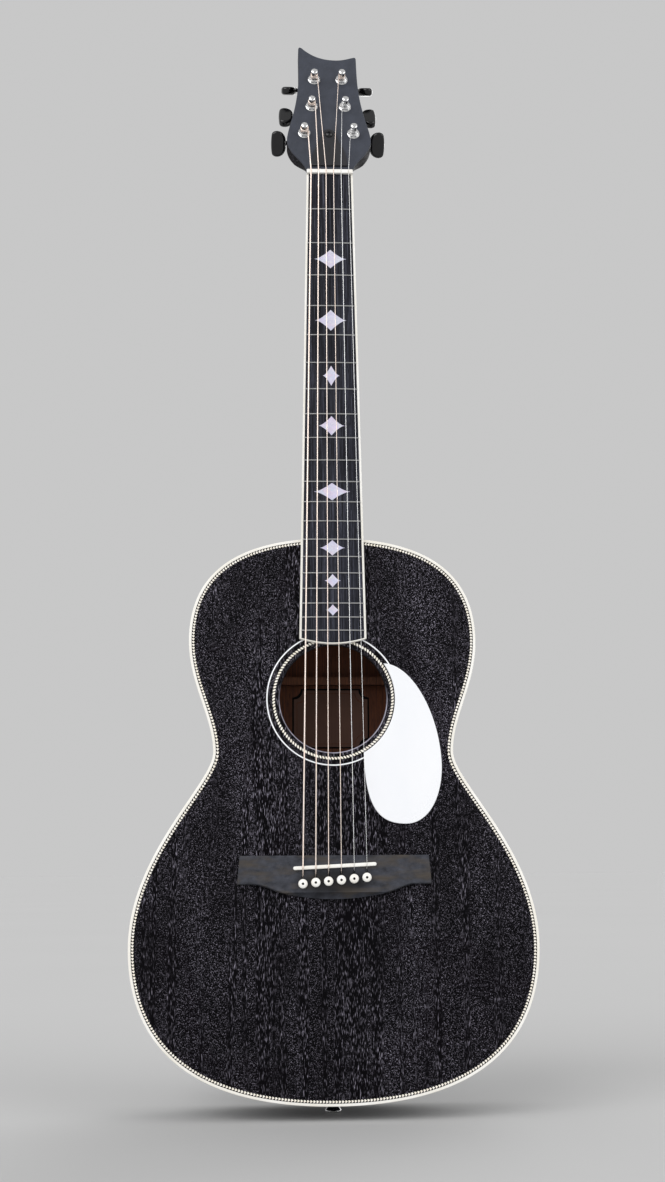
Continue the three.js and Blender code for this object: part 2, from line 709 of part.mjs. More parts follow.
function makeTunerHousing({ name, side, row }) {
  const { x, h } = POSTS[row];
  const { half, low, high, back } = HOUSING;
  const corner = 4;
  const plan = new THREE.Shape();
  plan.absarc(half - corner, high - corner, corner, 0, Math.PI / 2);
  plan.absarc(corner - half, high - corner, corner, Math.PI / 2, Math.PI);
  plan.absarc(corner - half, low + corner, corner, Math.PI, 1.5 * Math.PI);
  plan.absarc(half - corner, low + corner, corner, 1.5 * Math.PI, 2 * Math.PI);
  const wormSpace = new THREE.CylinderGeometry(2.6, 2.6, 13, 12).rotateZ(Math.PI / 2);
  const shaftHole = new THREE.CylinderGeometry(1.8, 1.8, 12, 12).rotateZ(Math.PI / 2);
  const housing = plate(plan, HEAD.thick + GLUE, back, 2)
    .add(roundY(HOUSING.sleeve, -1, HEAD.thick + 1, 0, 0))
    .add(roundY(HOUSING.nut, -2.4, -0.3, 0, 0, 6))
    .subtract(roundY(POST.radius + 0.25, -5, 20, 0, 0))
    .subtract(roundY(POST.gear + 0.3, 20.8, 25.6, 0, 0))
    .subtract(roundY(POST.waist + 0.25, 19, 21, 0, 0))
    .subtract(solid(wormSpace.translate(0, WORM.depth, WORM.offset)))
    .subtract(solid(shaftHole.translate(side * 9, WORM.depth, WORM.offset)));
  piece(`tuner_housing_${name}`, housing.translate([side * x, 0, h]), chrome, head);
}

function makeTunerPost({ name, side, row }) {
  const { x, h } = POSTS[row];
  const profile = [
    [0, POST.top],
    [POST.radius, POST.top],
    [POST.radius, POST.top + 2.6],
    [POST.waist, POST.top + 3.4],
    [POST.waist, -4],
    [POST.radius, -3.2],
    [POST.radius, 18.6],
    [POST.waist, 19.2],
    [POST.waist, 21],
    [POST.gear, 21],
    [POST.gear, 25.4],
    [0, 25.4],
  ];
  const post = solid(turned(profile, 12).translate(side * x, 0, h));
  piece(`tuner_post_${name}`, post, chrome, head);
}

function makeTunerButton({ name, side, row }) {
  const { x, h, turn } = POSTS[row];
  const { inner, outer, wide, thick } = BUTTON;
  const stem = [
    [0, -6],
    [WORM.radius, -6],
    [WORM.radius, 6],
    [1.6, 6.4],
    [1.6, inner + 2],
    [0, inner + 2],
  ];
  const shaft = solid(turned(stem, 12).rotateZ(-Math.PI / 2));
  const grip = new THREE.Shape();
  grip.moveTo(inner, -4);
  grip.bezierCurveTo(inner + 1, -wide / 2 - 1, outer, -wide / 2 - 1, outer, -wide / 4);
  grip.lineTo(outer, wide / 4);
  grip.bezierCurveTo(outer, wide / 2 + 1, inner + 1, wide / 2 + 1, inner, 4);
  const paddle = plate(grip, -thick / 2, thick / 2, 6);
  const facing = side > 0 ? 0 : 180;
  const button = shaft.add(paddle).rotate([0, facing, 0]).rotate([turn, 0, 0]);
  const placed = button.translate([side * x, WORM.depth, h + WORM.offset]);
  piece(`tuner_button_${name}`, placed, blackPlastic, head);
}

// ---------------------------------------------------------------- strings

// From the ball end under the bridge plate, up past its pin, over the saddle and the nut
// to the inner side of its post.
function makeString({ name, gauge, side, row }, i) {
  const radius = gauge / 2;
  const clear = radius + 0.15;
  const x = pinX(i);
  const z = pinZ(i) + STRING_OFFSET;
  const front = TOP_Y - GLUE - BRIDGE.high;
  const { x: postX, h } = POSTS[row];
  const reach = POST.waist + clear;
  const atPost = new THREE.Vector3(side * (postX - reach), -6, h - 1);
  head.updateMatrixWorld(true);
  const points = [
    new THREE.Vector3(x, UNDER_TOP + 4, z),
    new THREE.Vector3(x, front + 4, z),
    new THREE.Vector3(x, front + 1.8, z + 0.3),
    new THREE.Vector3(x, SADDLE.topY - clear, saddleZ(x) - 1.8),
    new THREE.Vector3(x, SADDLE.topY - clear, saddleZ(x) + 1.8),
    new THREE.Vector3(nutX(i), NUT.slotY - clear, BOARD.topZ),
    new THREE.Vector3(nutX(i), NUT.slotY - clear, BOARD.topZ + NUT.thick),
    head.localToWorld(atPost),
  ];
  const ball = new THREE.SphereGeometry(1.8, 8, 4).translate(x, UNDER_TOP + 4.6, z + 0.6);
  const material = gauge > 0.5 ? bronze : steel;
  piece(`string_${name}`, tube(points, radius, 6).add(solid(ball)), material);
}

// ---------------------------------------------------------------- the whole guitar

makeSoundboard();
makeEdgeTrim();
makeRosette();
makeSides();
makeBack();
makeLinings();
makeEndBlock("neck_block", 33, 440, 520);
makeEndBlock("tail_block", 36, 0, 36);
makeXBraces();
makeCrossBraces();
makeBridgePlate();
makeBridge();
piece("saddle", saddleBar(0, SADDLE.topY, SADDLE.slotY - GLUE), bone);
makeBridgePins();
makePickguard();
makeStrapPin();
makeFingerboard();
makeNut();
makeNeck();
makeHeadstockVeneer();
makeTrussRod();
makeTrussRodCover();
STRINGS.forEach((string, i) => {
  makeTunerHousing(string);
  makeTunerPost(string);
  makeTunerButton(string);
  makeString(string, i);
});

export default guitar;
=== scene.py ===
"""Looks of a steel-string acoustic guitar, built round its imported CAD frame. Blender 4.5.

Shapes are written in millimetres in the frame of the CAD: +Z up the neck, -Y out of the soundboard,
+X towards the treble side. make() turns them into pieces in metres that ride on the CAD bodies.
"""

from math import atan2, copysign, cos, hypot, pi, radians, sin, sqrt

import bmesh
import bpy
import numpy as np
from mathutils import Matrix, Vector
from mathutils.geometry import tessellate_polygon


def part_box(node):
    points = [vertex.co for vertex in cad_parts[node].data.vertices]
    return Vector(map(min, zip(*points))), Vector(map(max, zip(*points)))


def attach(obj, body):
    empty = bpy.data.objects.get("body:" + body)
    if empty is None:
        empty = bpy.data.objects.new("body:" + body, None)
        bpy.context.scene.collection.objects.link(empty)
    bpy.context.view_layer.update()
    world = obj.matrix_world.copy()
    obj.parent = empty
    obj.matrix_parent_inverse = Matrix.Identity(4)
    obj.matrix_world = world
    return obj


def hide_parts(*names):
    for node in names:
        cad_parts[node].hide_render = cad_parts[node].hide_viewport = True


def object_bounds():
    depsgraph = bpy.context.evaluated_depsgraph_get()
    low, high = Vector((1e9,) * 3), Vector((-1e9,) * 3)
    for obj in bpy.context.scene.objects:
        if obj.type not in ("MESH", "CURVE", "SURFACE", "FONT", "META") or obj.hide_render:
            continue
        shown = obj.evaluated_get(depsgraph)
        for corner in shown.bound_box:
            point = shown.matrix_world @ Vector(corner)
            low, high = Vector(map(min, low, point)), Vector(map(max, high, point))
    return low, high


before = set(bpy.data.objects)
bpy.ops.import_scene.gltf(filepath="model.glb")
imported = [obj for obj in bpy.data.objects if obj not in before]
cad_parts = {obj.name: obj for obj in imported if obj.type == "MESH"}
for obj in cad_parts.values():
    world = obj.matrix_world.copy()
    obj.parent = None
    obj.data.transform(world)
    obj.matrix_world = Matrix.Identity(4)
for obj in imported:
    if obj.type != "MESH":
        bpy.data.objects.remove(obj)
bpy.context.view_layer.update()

MM = 0.001
THINNEST = 0.02  # radius at which a turned piece ends instead of in a point


def box_mm(node):
    low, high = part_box(node)
    return low / MM, high / MM


# ---- sizes read from the frame

rim_low, rim_high = box_mm("top_binding")
TOP_Y, TAIL_Z, BODY_TOP_Z = rim_low.y, rim_low.z, rim_high.z
TAIL_BACK_Y = box_mm("back_binding")[1].y
ring_low, ring_high = box_mm("rosette_outer")
HOLE_Z = (ring_low.z + ring_high.z) / 2
board_low, board_high = box_mm("fingerboard_binding")
BOARD_FRONT, BOARD_END_Z, BOARD_TOP_Z = board_low.y, board_low.z, board_high.z
BOARD_BACK = board_high.y
bridge_low, bridge_high = box_mm("bridge")
nut_low, nut_high = box_mm("nut")
saddle_low, saddle_high = box_mm("saddle")
saddle_z = (saddle_low.z + saddle_high.z) / 2

# ---- driving sizes, millimetres

HEEL_DEPTH = 84
BODY_DEPTH = TAIL_BACK_Y - TOP_Y
BACK_SLOPE = (BODY_DEPTH - HEEL_DEPTH) / (BODY_TOP_Z - TAIL_Z)
LOWER = (175.9, 144)
WAIST = (104.8, 308)
UPPER = (126.8, 407)
BODY_POINTS = 400
PLATE = 2.7
SIDE_THICK = 2.3
BINDING = (2.4, 6.0)  # wide, deep
PURFLING_END = 5.1  # inner edge of the herringbone, from the body's edge
BACK_ARCH = 2.5

LEDGE = 1.5  # depth of the groove that holds an inlay
GAP = 0.05  # between an inlaid piece and the wood round it
PROUD = 0.03  # how far an inlaid strip stands out of the soundboard's face

HOLE_RADIUS = 47
HOLE_ROUND = 0.9
INNER_RING = (51.0, 53.5)
OUTER_RING = (57.5, 58.7)
HERRINGBONE_PITCH = 2.7
PICKGUARD_ARC = 54.2

SCALE_LENGTH = 628
NUT_Z = 845
NUT_HALF = nut_high.x
BOARD_TAPER = 0.01857
BOARD_EDGE_Z = 407.6
BOARD_BINDING = 1.9
END_BINDING = 1.1  # the same strip round the board's lower end
BOARD_RADIUS = 410
FRET_COUNT = 20
FRET = (1.4, 1.0)  # wide, high
NECK_JOINT_Z = BODY_TOP_Z + 0.5

HEAD_TILT = 13
HEAD_THICK = 15.5
HEAD_FOOT = (21.3, -3)  # half width and height of the headstock's lower end
VENEER = 2.0

POSTS = [(23.2, 42.8, 40), (15.8, 74.7, -15), (13.2, 107.3, -50)]  # x, height on the face, button's turn
WORM_DEPTH, WORM_OFFSET = 23.2, 6
CASE_BACK = 28.5
EAR_THICK = 2.2
POST_RADIUS, POST_WAIST, POST_TOP = 3.1, 2.6, -12
WINDING_Y = -4.1  # where the string meets its post, in front of the headstock's face

# name, gauge, side, row of its post, turns round the post
STRINGS = [
    ("low_e", 1.35, -1, 0, 2.4),
    ("a", 1.07, -1, 1, 3.0),
    ("d", 0.81, -1, 2, 4.0),
    ("g", 0.61, 1, 2, 5.0),
    ("b", 0.41, 1, 1, 6.5),
    ("high_e", 0.31, 1, 0, 7.5),
]
PIN_SPACING, PIN_Z, PIN_RISE = 10.94, 198.2, 5
SADDLE_LONG, SADDLE_WIDE, SADDLE_RISE = 71.4, 3.2, 3.4
NUT_SPACING = 7
NUT_SLOT_Y = -60.7
STRING_OFFSET = 3.9  # from a pin's middle up to its string
THINNEST_WOUND = 0.5


def pin_x(i):
    return (i - 2.5) * PIN_SPACING


def pin_z(i):
    return PIN_Z + pin_x(i) * PIN_RISE / (5 * PIN_SPACING)


def saddle_at(x):
    return saddle_z + x * SADDLE_RISE / SADDLE_LONG


def nut_x(i):
    return (i - 2.5) * NUT_SPACING


def board_half(z):
    return NUT_HALF + BOARD_TAPER * (NUT_Z - z)


def fret_z(n):
    return NUT_Z - SCALE_LENGTH * (1 - 2 ** (-n / 12))


def back_y(z, inside=0.0):
    """The back's outer plane at height z, or the plane that lies inside it by that much."""
    return TAIL_BACK_Y - (z - TAIL_Z) * BACK_SLOPE - inside * hypot(1, BACK_SLOPE)


def mix(a, b, t):
    return a + (b - a) * t


def bounded(t):
    return min(max(t, 0.0), 1.0)


def smooth(t):
    t = bounded(t)
    return t * t * (3 - 2 * t)


def spread(low, high, steps):
    """Evenly spaced values from low to high, both ends included."""
    return [mix(low, high, k / steps) for k in range(steps + 1)]


def shift(x, y, z):
    return Matrix.Translation((x, y, z))


def spin(degrees, axis):
    return Matrix.Rotation(radians(degrees), 4, axis)


def along_x(side):
    """Turns a shape made about the y direction to point along +x or -x."""
    return spin(-90 * side, "Z")


# the headstock's own frame: its face is the plane y = 0, its z runs up the face
HEAD_FRAME = shift(0, -56, 850) @ spin(-HEAD_TILT, "X")


# ---- material nodes


class Nodes:
    """A short way to add and join the nodes of one material."""

    def __init__(self, name, grain=False):
        self.material = bpy.data.materials.new(name)
        self.material.use_nodes = True
        self.tree = self.material.node_tree
        if grain:
            self.place = self.add("Attribute", {}, 1, attribute_name="grain")
        else:
            self.place = self.add("TexCoord", {}, 3)

    def put(self, socket, value):
        if isinstance(value, bpy.types.NodeSocket):
            self.tree.links.new(value, socket)
        else:
            socket.default_value = value

    def add(self, kind, inputs, out=0, **settings):
        node = self.tree.nodes.new("ShaderNode" + kind)
        for key, value in settings.items():
            setattr(node, key, value)
        for key, value in inputs.items():
            self.put(node.inputs[key], value)
        return node.outputs[out]

    def axis(self, number):
        return self.add("SeparateXYZ", {0: self.place}, number)

    def scaled(self, x, y, z):
        """Coordinates for a pattern that repeats about every x, y and z millimetres."""
        return self.vectors("MULTIPLY", self.place, (1 / (x * MM), 1 / (y * MM), 1 / (z * MM)))

    def noise(self, x, y, z, detail=2.0, roughness=0.5, warp=0.0):
        inputs = {"Vector": self.scaled(x, y, z), "Scale": 1.0, "Detail": detail}
        inputs.update({"Roughness": roughness, "Distortion": warp})
        return self.add("TexNoise", inputs)

    def ramp(self, factor, *stops):
        node = self.tree.nodes.new("ShaderNodeValToRGB")
        self.put(node.inputs[0], factor)
        elements = node.color_ramp.elements
        while len(elements) < len(stops):
            elements.new(0.5)
        for element, (place, colour) in zip(elements, stops):
            element.position = place
            element.color = grey(colour) if isinstance(colour, (int, float)) else colour
        return node.outputs[0]

    def step(self, factor, low, high):
        """0 up to low, 1 from high, and a straight line between them."""
        return self.ramp(factor, (low, 0.0), (high, 1.0))

    def blend(self, factor, a, b):
        return self.add("Mix", {0: factor, 6: a, 7: b}, 2, data_type="RGBA")

    def maths(self, operation, a, b=0.0):
        return self.add("Math", {0: a, 1: b}, operation=operation)

    def times(self, a, b):
        return self.maths("MULTIPLY", a, b)

    def vectors(self, operation, a, b, out=0):
        return self.add("VectorMath", {0: a, 1: b}, out, operation=operation)

    def span(self, value, low, high, start=0.0, end=1.0):
        """A value that goes from start to end, turned into low to high."""
        inputs = {"Value": value, "From Min": start, "From Max": end, "To Min": low, "To Max": high}
        return self.add("MapRange", inputs)

    def bump(self, height, depth, strength=1.0):
        """Relief of depth millimetres."""
        return self.add("Bump", {"Height": height, "Distance": depth * MM, "Strength": strength})

    def finish(self, base, rough, normal=None, specular=0.5, coat=0.0, metal=0.0):
        values = {"Base Color": base, "Roughness": rough, "Metallic": metal}
        values.update({"Specular IOR Level": specular, "Coat Weight": coat})
        if normal:
            values["Normal"] = normal
        for name, value in values.items():
            self.put(self.tree.nodes["Principled BSDF"].inputs[name], value)
        return self.material


def grey(value):
    return (value, value, value, 1)


def srgb(red, green, blue):
    """A colour given as display values from 0 to 255."""
    linear = [((c / 255 + 0.055) / 1.055) ** 2.4 if c > 10 else c / 255 / 12.92 for c in (red, green, blue)]
    return (*linear, 1)


def black_wood(name, grain=False, fleck=1.0):
    """Satin black over open-pored mahogany: short pale flecks and longer streaks, in bands. The flecks are
    the pores with painted glints in them, painted brighter in clouds and towards the top.
    """
    g = Nodes(name, grain)
    shorts = g.step(g.noise(0.65, 0.8, 1.0, detail=1.5), 0.55, 0.7)
    longs = g.step(g.noise(0.65, 0.8, 5, detail=1.5, warp=0.15), 0.56, 0.7)
    broken = g.ramp(g.noise(2.2, 2.4, 2.6, detail=1.0), (0.35, 0.25), (0.6, 1.0))
    bands = g.noise(13, 60, 420, detail=3.0, roughness=0.6)
    clouds = g.noise(38, 60, 100)
    near_middle = g.span(g.maths("ABSOLUTE", g.axis(0)), 0.0, 0.08, 0.09, 0.02)
    kind = g.step(g.maths("ADD", bands, near_middle), 0.52, 0.6)
    # painted highlight: the pale flecks are the pores' pattern, coloured as glints where the pores catch
    # light
    pores_and_glints = g.times(g.blend(kind, shorts, longs), broken)
    # painted light: the glints are painted brighter in soft clouds and higher up the body, as the light fell
    painted_light_upwards = g.span(g.axis(2), 0.54, 0.84, end=0.35)
    lit = g.times(g.ramp(clouds, (0.3, 0.48), (0.66, 0.95)), painted_light_upwards)
    amount = g.times(g.times(pores_and_glints, lit), fleck)
    ground = g.blend(bands, srgb(2, 2, 3), srgb(10, 8, 12))
    tint = g.blend(clouds, srgb(144, 138, 150), srgb(206, 200, 220))
    pits = g.bump(g.maths("SUBTRACT", 1.0, pores_and_glints), 0.1, 0.6)
    return g.finish(g.blend(amount, ground, tint), g.span(amount, 0.5, 0.75), pits, specular=0.04)


def edge_wear_and_highlight():
    """Rounded edge of the soundhole: a painted highlight pales the finish on the lower half only, where the
    edge faces up, broken by patches of wear.
    """
    g = Nodes("edge_wear_and_highlight")
    # painted highlight: the pale tone is laid only on the lower half, where the edge faces the light from
    # above
    wear_and_highlight = g.span(g.axis(2), 0.0, 1.0, (HOLE_Z + 12) * MM, (HOLE_Z - 8) * MM)
    patches = g.ramp(g.noise(7, 7, 7), (0.3, 0.5), (0.6, 1.0))
    base = g.blend(g.times(wear_and_highlight, patches), srgb(22, 20, 24), srgb(168, 164, 178))
    return g.finish(base, g.span(patches, 0.5, 0.65), g.bump(patches, 0.03), specular=0.15)


def raw_wood(name, dark, pale, line=1.2, length=90):
    """Unfinished wood with fine lines along z and a slow change of tone."""
    g = Nodes(name)
    lines = g.noise(line, line * 6, length, detail=4.0, roughness=0.6, warp=0.3)
    tone = g.noise(30, 30, 160)
    pores = g.ramp(g.noise(0.5, 3, 6, detail=1.0), (0.3, 0.4), (0.45, 1.0))
    wood = g.blend(g.times(lines, tone), dark, pale)
    wood = g.blend(g.step(lines, 0.35, 0.65), dark, g.blend(tone, wood, pale))
    base = g.vectors("MULTIPLY", wood, pores)
    return g.finish(base, g.span(lines, 0.6, 0.8), g.bump(lines, 0.1, 0.5))


def board_ebony():
    """Oiled ebony: very dark blue-grey with fine streaks along the neck."""
    g = Nodes("ebony_board")
    streaks = g.noise(0.9, 5, 60, detail=4.0, roughness=0.65, warp=0.2)
    pores = g.ramp(g.noise(0.35, 3, 5, detail=1.0), (0.32, 0.35), (0.42, 1.0))
    wood = g.ramp(streaks, (0.3, srgb(14, 14, 18)), (0.5, srgb(42, 43, 52)), (0.72, srgb(96, 99, 114)))
    sheen = g.ramp(g.noise(4, 30, 300), (0.35, 0.6), (0.65, 1.0))
    base = g.vectors("MULTIPLY", g.vectors("MULTIPLY", wood, pores), sheen)
    return g.finish(base, g.span(streaks, 0.42, 0.58), g.bump(pores, 0.05), specular=0.12)


def bridge_ebony():
    """Dry ebony: charcoal with brownish rubbed patches, and painted shade round the pins."""
    g = Nodes("ebony_bridge")
    patches = g.noise(34, 20, 11, detail=3.0)
    streaks = g.noise(22, 4, 0.9, detail=4.0, roughness=0.6)
    cloudy = g.noise(9, 20, 6, detail=4.0, roughness=0.65)
    charcoal = g.blend(g.step(cloudy, 0.3, 0.7), srgb(46, 47, 52), srgb(74, 76, 84))
    wear_and_highlight = g.blend(streaks, srgb(58, 54, 50), srgb(90, 83, 76))
    base = g.blend(g.ramp(patches, (0.48, 0.0), (0.64, 0.9)), charcoal, wear_and_highlight)
    # painted shade: the bridge is darkened in an oval round the pins
    middle = (0, bridge_low.y * MM, (PIN_Z - 1) * MM)
    away = g.vectors("MULTIPLY", g.vectors("SUBTRACT", g.place, middle), (1 / 0.040, 1 / 0.030, 1 / 0.013))
    painted_shade_round_pins = g.maths("ADD", g.vectors("LENGTH", away, (0, 0, 0), 1), g.span(patches, -0.35, 0.35))
    base = g.blend(g.ramp(painted_shade_round_pins, (0.55, 0.75), (1.15, 0.0)), base, srgb(24, 23, 23))
    return g.finish(base, g.span(patches, 0.5, 0.72), g.bump(streaks, 0.06, 0.5), specular=0.14)


def head_face():
    """Satin grey-black face of the headstock, slightly mottled."""
    g = Nodes("headstock_face")
    mottle = g.noise(9, 9, 12, detail=3.0, roughness=0.6)
    specks = g.noise(0.7, 3, 1.6, detail=1.0)
    ground = g.blend(mottle, srgb(52, 55, 62), srgb(73, 77, 88))
    base = g.blend(g.ramp(specks, (0.6, 0.0), (0.75, 0.3)), ground, srgb(92, 91, 99))
    return g.finish(base, g.span(mottle, 0.5, 0.62), g.bump(specks, 0.03), specular=0.2)


def plastic(name, pale, dark, rough, size=7.0, coat=0.0, specular=0.5):
    """Moulded plastic or bone with a faint change of tone and a slightly uneven polish."""
    g = Nodes(name)
    tone = g.noise(size, size, size * 2.5, detail=3.0)
    peel = g.noise(1.6, 1.6, 1.6)
    base = g.blend(g.step(tone, 0.35, 0.65), dark, pale)
    polish = g.span(peel, rough * 0.8, rough * 1.25)
    return g.finish(base, polish, g.bump(peel, 0.02, 0.4), specular, coat)


def metal(name, pale, dark, rough, stretch=1.0):
    """Bright metal with faint brushing and small differences of polish."""
    g = Nodes(name)
    brush = g.noise(0.4 * stretch, 0.4, 0.4, detail=3.0)
    base = g.blend(g.step(g.noise(5, 5, 5), 0.3, 0.7), dark, pale)
    polish = g.span(brush, rough * 0.6, rough * 1.4)
    return g.finish(base, polish, g.bump(brush, 0.004, 0.3), metal=1.0)


def wound_metal():
    """Phosphor-bronze winding: fine turns across the string."""
    g = Nodes("bronze_winding")
    turns = g.add("TexWave", {"Vector": g.scaled(1, 1, 1), "Scale": 0.6}, 1, bands_direction="Z")
    base = g.blend(g.noise(3, 3, 40), srgb(255, 230, 214), srgb(255, 247, 240))
    return g.finish(base, g.span(turns, 0.25, 0.42), g.bump(turns, 0.05, 0.5), metal=1.0)


def mother_of_pearl():
    """Milky lilac and grey in soft waves, with small cells of other tints."""
    g = Nodes("pearl")
    cells = g.add("TexVoronoi", {"Vector": g.scaled(5, 5, 3), "Scale": 1.0}, 1)
    waves = g.noise(3, 3, 2, detail=3.0, warp=1.5)
    base = g.blend(0.08, g.blend(waves, srgb(205, 200, 232), srgb(236, 234, 246)), cells)
    return g.finish(base, g.span(waves, 0.18, 0.34), g.bump(waves, 0.02, 0.5), coat=0.6)


def paper():
    """Brown label paper, unevenly aged."""
    g = Nodes("label_paper")
    fibres = g.noise(0.7, 0.7, 0.7, detail=4.0)
    base = g.blend(g.noise(25, 25, 25), srgb(98, 70, 60), srgb(120, 88, 74))
    return g.finish(base, g.span(fibres, 0.75, 0.95), g.bump(fibres, 0.03))


def floor_finish():
    """Matt studio floor of a nearly even tone."""
    g = Nodes("pale_floor")
    tone = g.noise(900, 900, 900)
    base = g.blend(tone, grey(FLOOR_TONE * 0.98), grey(FLOOR_TONE * 1.02))
    return g.finish(base, g.span(tone, 0.9, 1.0), specular=0.0)


BLACK_TOP = black_wood("black_top")
BLACK_SIDE = black_wood("black_side", grain=True, fleck=0.8)
BLACK_WOOD = black_wood("black_wood", fleck=0.7)
BROWN = raw_wood("mahogany_inside", srgb(80, 39, 17), srgb(142, 76, 36))
BLOCK = raw_wood("mahogany_block", srgb(104, 64, 38), srgb(166, 112, 74))
# painted shade: the back braces are spruce, but take a darker brown than SPRUCE for the shade they stand in
BRACE_IN_PAINTED_SHADE = raw_wood("brace_in_painted_shade", srgb(88, 48, 26), srgb(146, 92, 58))
SPRUCE = raw_wood("spruce", srgb(158, 118, 74), srgb(206, 170, 120), line=1.4, length=200)
EBONY_BOARD = board_ebony()
EBONY_BRIDGE = bridge_ebony()
HEAD_FACE = head_face()
CREAM = plastic("cream_binding", srgb(253, 251, 246), srgb(244, 240, 230), 0.35, size=20)
HERRING_PALE = plastic("herringbone_pale", srgb(255, 251, 242), srgb(246, 238, 222), 0.45, size=3)
HERRING_DARK = plastic("herringbone_dark", srgb(16, 13, 12), srgb(6, 5, 5), 0.6, size=3, specular=0.08)
WHITE = plastic("white_plastic", srgb(251, 252, 255), srgb(247, 249, 253), 0.22, size=40, coat=0.3)
BONE = plastic("bone", srgb(255, 254, 250), srgb(247, 243, 235), 0.3, size=6)
BLACK_PLASTIC = plastic("black_plastic", srgb(14, 14, 17), srgb(7, 7, 9), 0.12, size=9)
PIN_DOT = plastic("pin_dot", srgb(8, 7, 7), srgb(3, 3, 3), 0.6, size=2, specular=0.08)
COVER_BLACK = plastic("cover_black", srgb(34, 34, 39), srgb(24, 24, 28), 0.35, size=9)
# patchy wear with a painted highlight, for the soundhole's rounded edge
EDGE_WEAR_AND_HIGHLIGHT = edge_wear_and_highlight()
CHROME = metal("chrome", grey(0.9), grey(0.78), 0.12)
STEEL = metal("plain_steel", grey(0.93), grey(0.84), 0.25)
FRET_METAL = metal("nickel_silver", grey(0.6), grey(0.48), 0.22, stretch=20)
BRASS = metal("brass", srgb(220, 180, 110), srgb(190, 146, 80), 0.3)
BRONZE = wound_metal()
PEARL = mother_of_pearl()
PAPER = paper()

# ---- shapes: (points, faces, marks)


def skin(rings, along=False, caps=True, mark=None):
    """Quads between closed rings of equal length. mark(r, i) picks a face's material."""
    count, size = len(rings), len(rings[0])
    points = [tuple(point) for ring in rings for point in ring]
    faces, marks = [], []
    for r in range(count if along else count - 1):
        s = (r + 1) % count
        for i in range(size):
            j = (i + 1) % size
            faces.append((r * size + i, r * size + j, s * size + j, s * size + i))
            marks.append(mark(r, i) if mark else 0)
    if caps:
        faces += [tuple(range(size)), tuple((count - 1) * size + i for i in range(size))]
        marks += [0, 0]
    return points, faces, marks


def joined(*shapes):
    points, faces, marks = [], [], []
    for more_points, more_faces, more_marks in shapes:
        start = len(points)
        points += more_points
        faces += [tuple(start + i for i in face) for face in more_faces]
        marks += more_marks
    return points, faces, marks


def marked(shape, number):
    """The shape with one of the piece's other materials all over."""
    return shape[0], shape[1], [number] * len(shape[1])


def moved(shape, matrix):
    return [tuple(matrix @ Vector(point)) for point in shape[0]], shape[1], shape[2]


def lifted(ring, y):
    """(x, z) points put at depth y, which may depend on z."""
    return [(x, y(z) if callable(y) else y, z) for x, z in ring]


def slab(outline, profile, hole=None, hole_profile=(), hole_mark=None):
    """A plate with shaped edges. Each profile runs from the front face to the back face, and
    outline(value) and hole(value) give the ring of (x, z) points for its (value, y) pairs."""
    rings = [lifted(outline(value), y) for value, y in profile]
    if hole is None:
        return skin(rings)
    outer = skin(rings, caps=False)
    bores = [lifted(hole(value), y) for value, y in hole_profile]
    inner = skin(bores, caps=False, mark=hole_mark)
    points, faces, marks = joined(outer, inner)
    size, bore = len(rings[0]), len(bores[0])
    start = len(outer[0])
    for first, hole_first in ((0, start), (start - size, len(points) - bore)):
        loops = [range(first, first + size), range(hole_first, hole_first + bore)]
        flat = [i for loop in loops for i in loop]
        corners = [[Vector((points[i][0], points[i][2], 0)) for i in loop] for loop in loops]
        triangles = tessellate_polygon(corners)
        faces += [tuple(flat[k] for k in triangle) for triangle in triangles]
        marks += [0] * len(triangles)
    return points, faces, marks


def edge(front, back, radius, back_radius=0.0, steps=4):
    """Profile of a plate's edge, rounded in front and behind; values are insets."""
    profile = [(radius + 0.3, front), *((u, front + v) for u, v in rounding(radius, steps))]
    if back_radius:
        profile += [(v, back - u) for u, v in rounding(back_radius, steps)]
    else:
        profile.append((0, back))
    return profile + [(back_radius + 0.3, back)]


def arc(radius, start, end, steps, x=0.0, z=0.0):
    """Points on a circle from one angle to another in degrees, both ends included."""
    return [(x + radius * cos(a), z + radius * sin(a)) for a in spread(radians(start), radians(end), steps)]


def circle(radius, count=128, x=0.0, z=0.0):
    return arc(radius, 0, 360, count, x, z)[:-1]


def turned(profile, sides=40, x=0.0, z=0.0):
    """A turned piece about the y direction; the profile lists (radius, y) pairs."""
    return skin([lifted(circle(max(radius, THINNEST), sides, x, z), y) for radius, y in profile])


def dome(radius, base, top, steps=6):
    """Profile points of a shallow dome, from its rim to its crown."""
    return [(radius * cos(a), mix(base, top, sin(a))) for a in spread(0, pi / 2, steps)]


def tube(route, radius, sides=12):
    """A round wire along a route of points."""
    route = [Vector(point) for point in route]
    side = (route[1] - route[0]).orthogonal().normalized()
    turns = spread(0, 2 * pi, sides)[:-1]
    rings = []
    for k, point in enumerate(route):
        ahead = (route[min(k + 1, len(route) - 1)] - route[max(k - 1, 0)]).normalized()
        side = (side - ahead * side.dot(ahead)).normalized()
        up = ahead.cross(side)
        rings.append([point + (side * cos(a) + up * sin(a)) * radius for a in turns])
    return skin(rings)


def relief(columns, rows, place, front, back):
    """A solid with a height field in front. place(u, v) gives x and z, with u across and v up."""
    rings = []
    for u in columns:
        spots = [place(u, v) for v in rows]
        ends = [(x, back, z) for x, z in (spots[-1], spots[0])]
        rings.append([(x, front(x, z), z) for x, z in spots] + ends)
    return skin(rings)


def bezier(a, b, c, d, steps):
    """Points of one curve after its start."""
    points = []
    for k in range(1, steps + 1):
        t = k / steps
        weights = ((1 - t) ** 3, 3 * t * (1 - t) ** 2, 3 * t * t * (1 - t), t**3)
        points.append(tuple(sum(w * p[n] for w, p in zip(weights, (a, b, c, d))) for n in (0, 1)))
    return points


def path(start, *curves):
    """Joined curves; each gives its two guide points, its end and its number of steps."""
    points = [start]
    for curve in curves:
        points += bezier(points[-1], *curve)
    return points


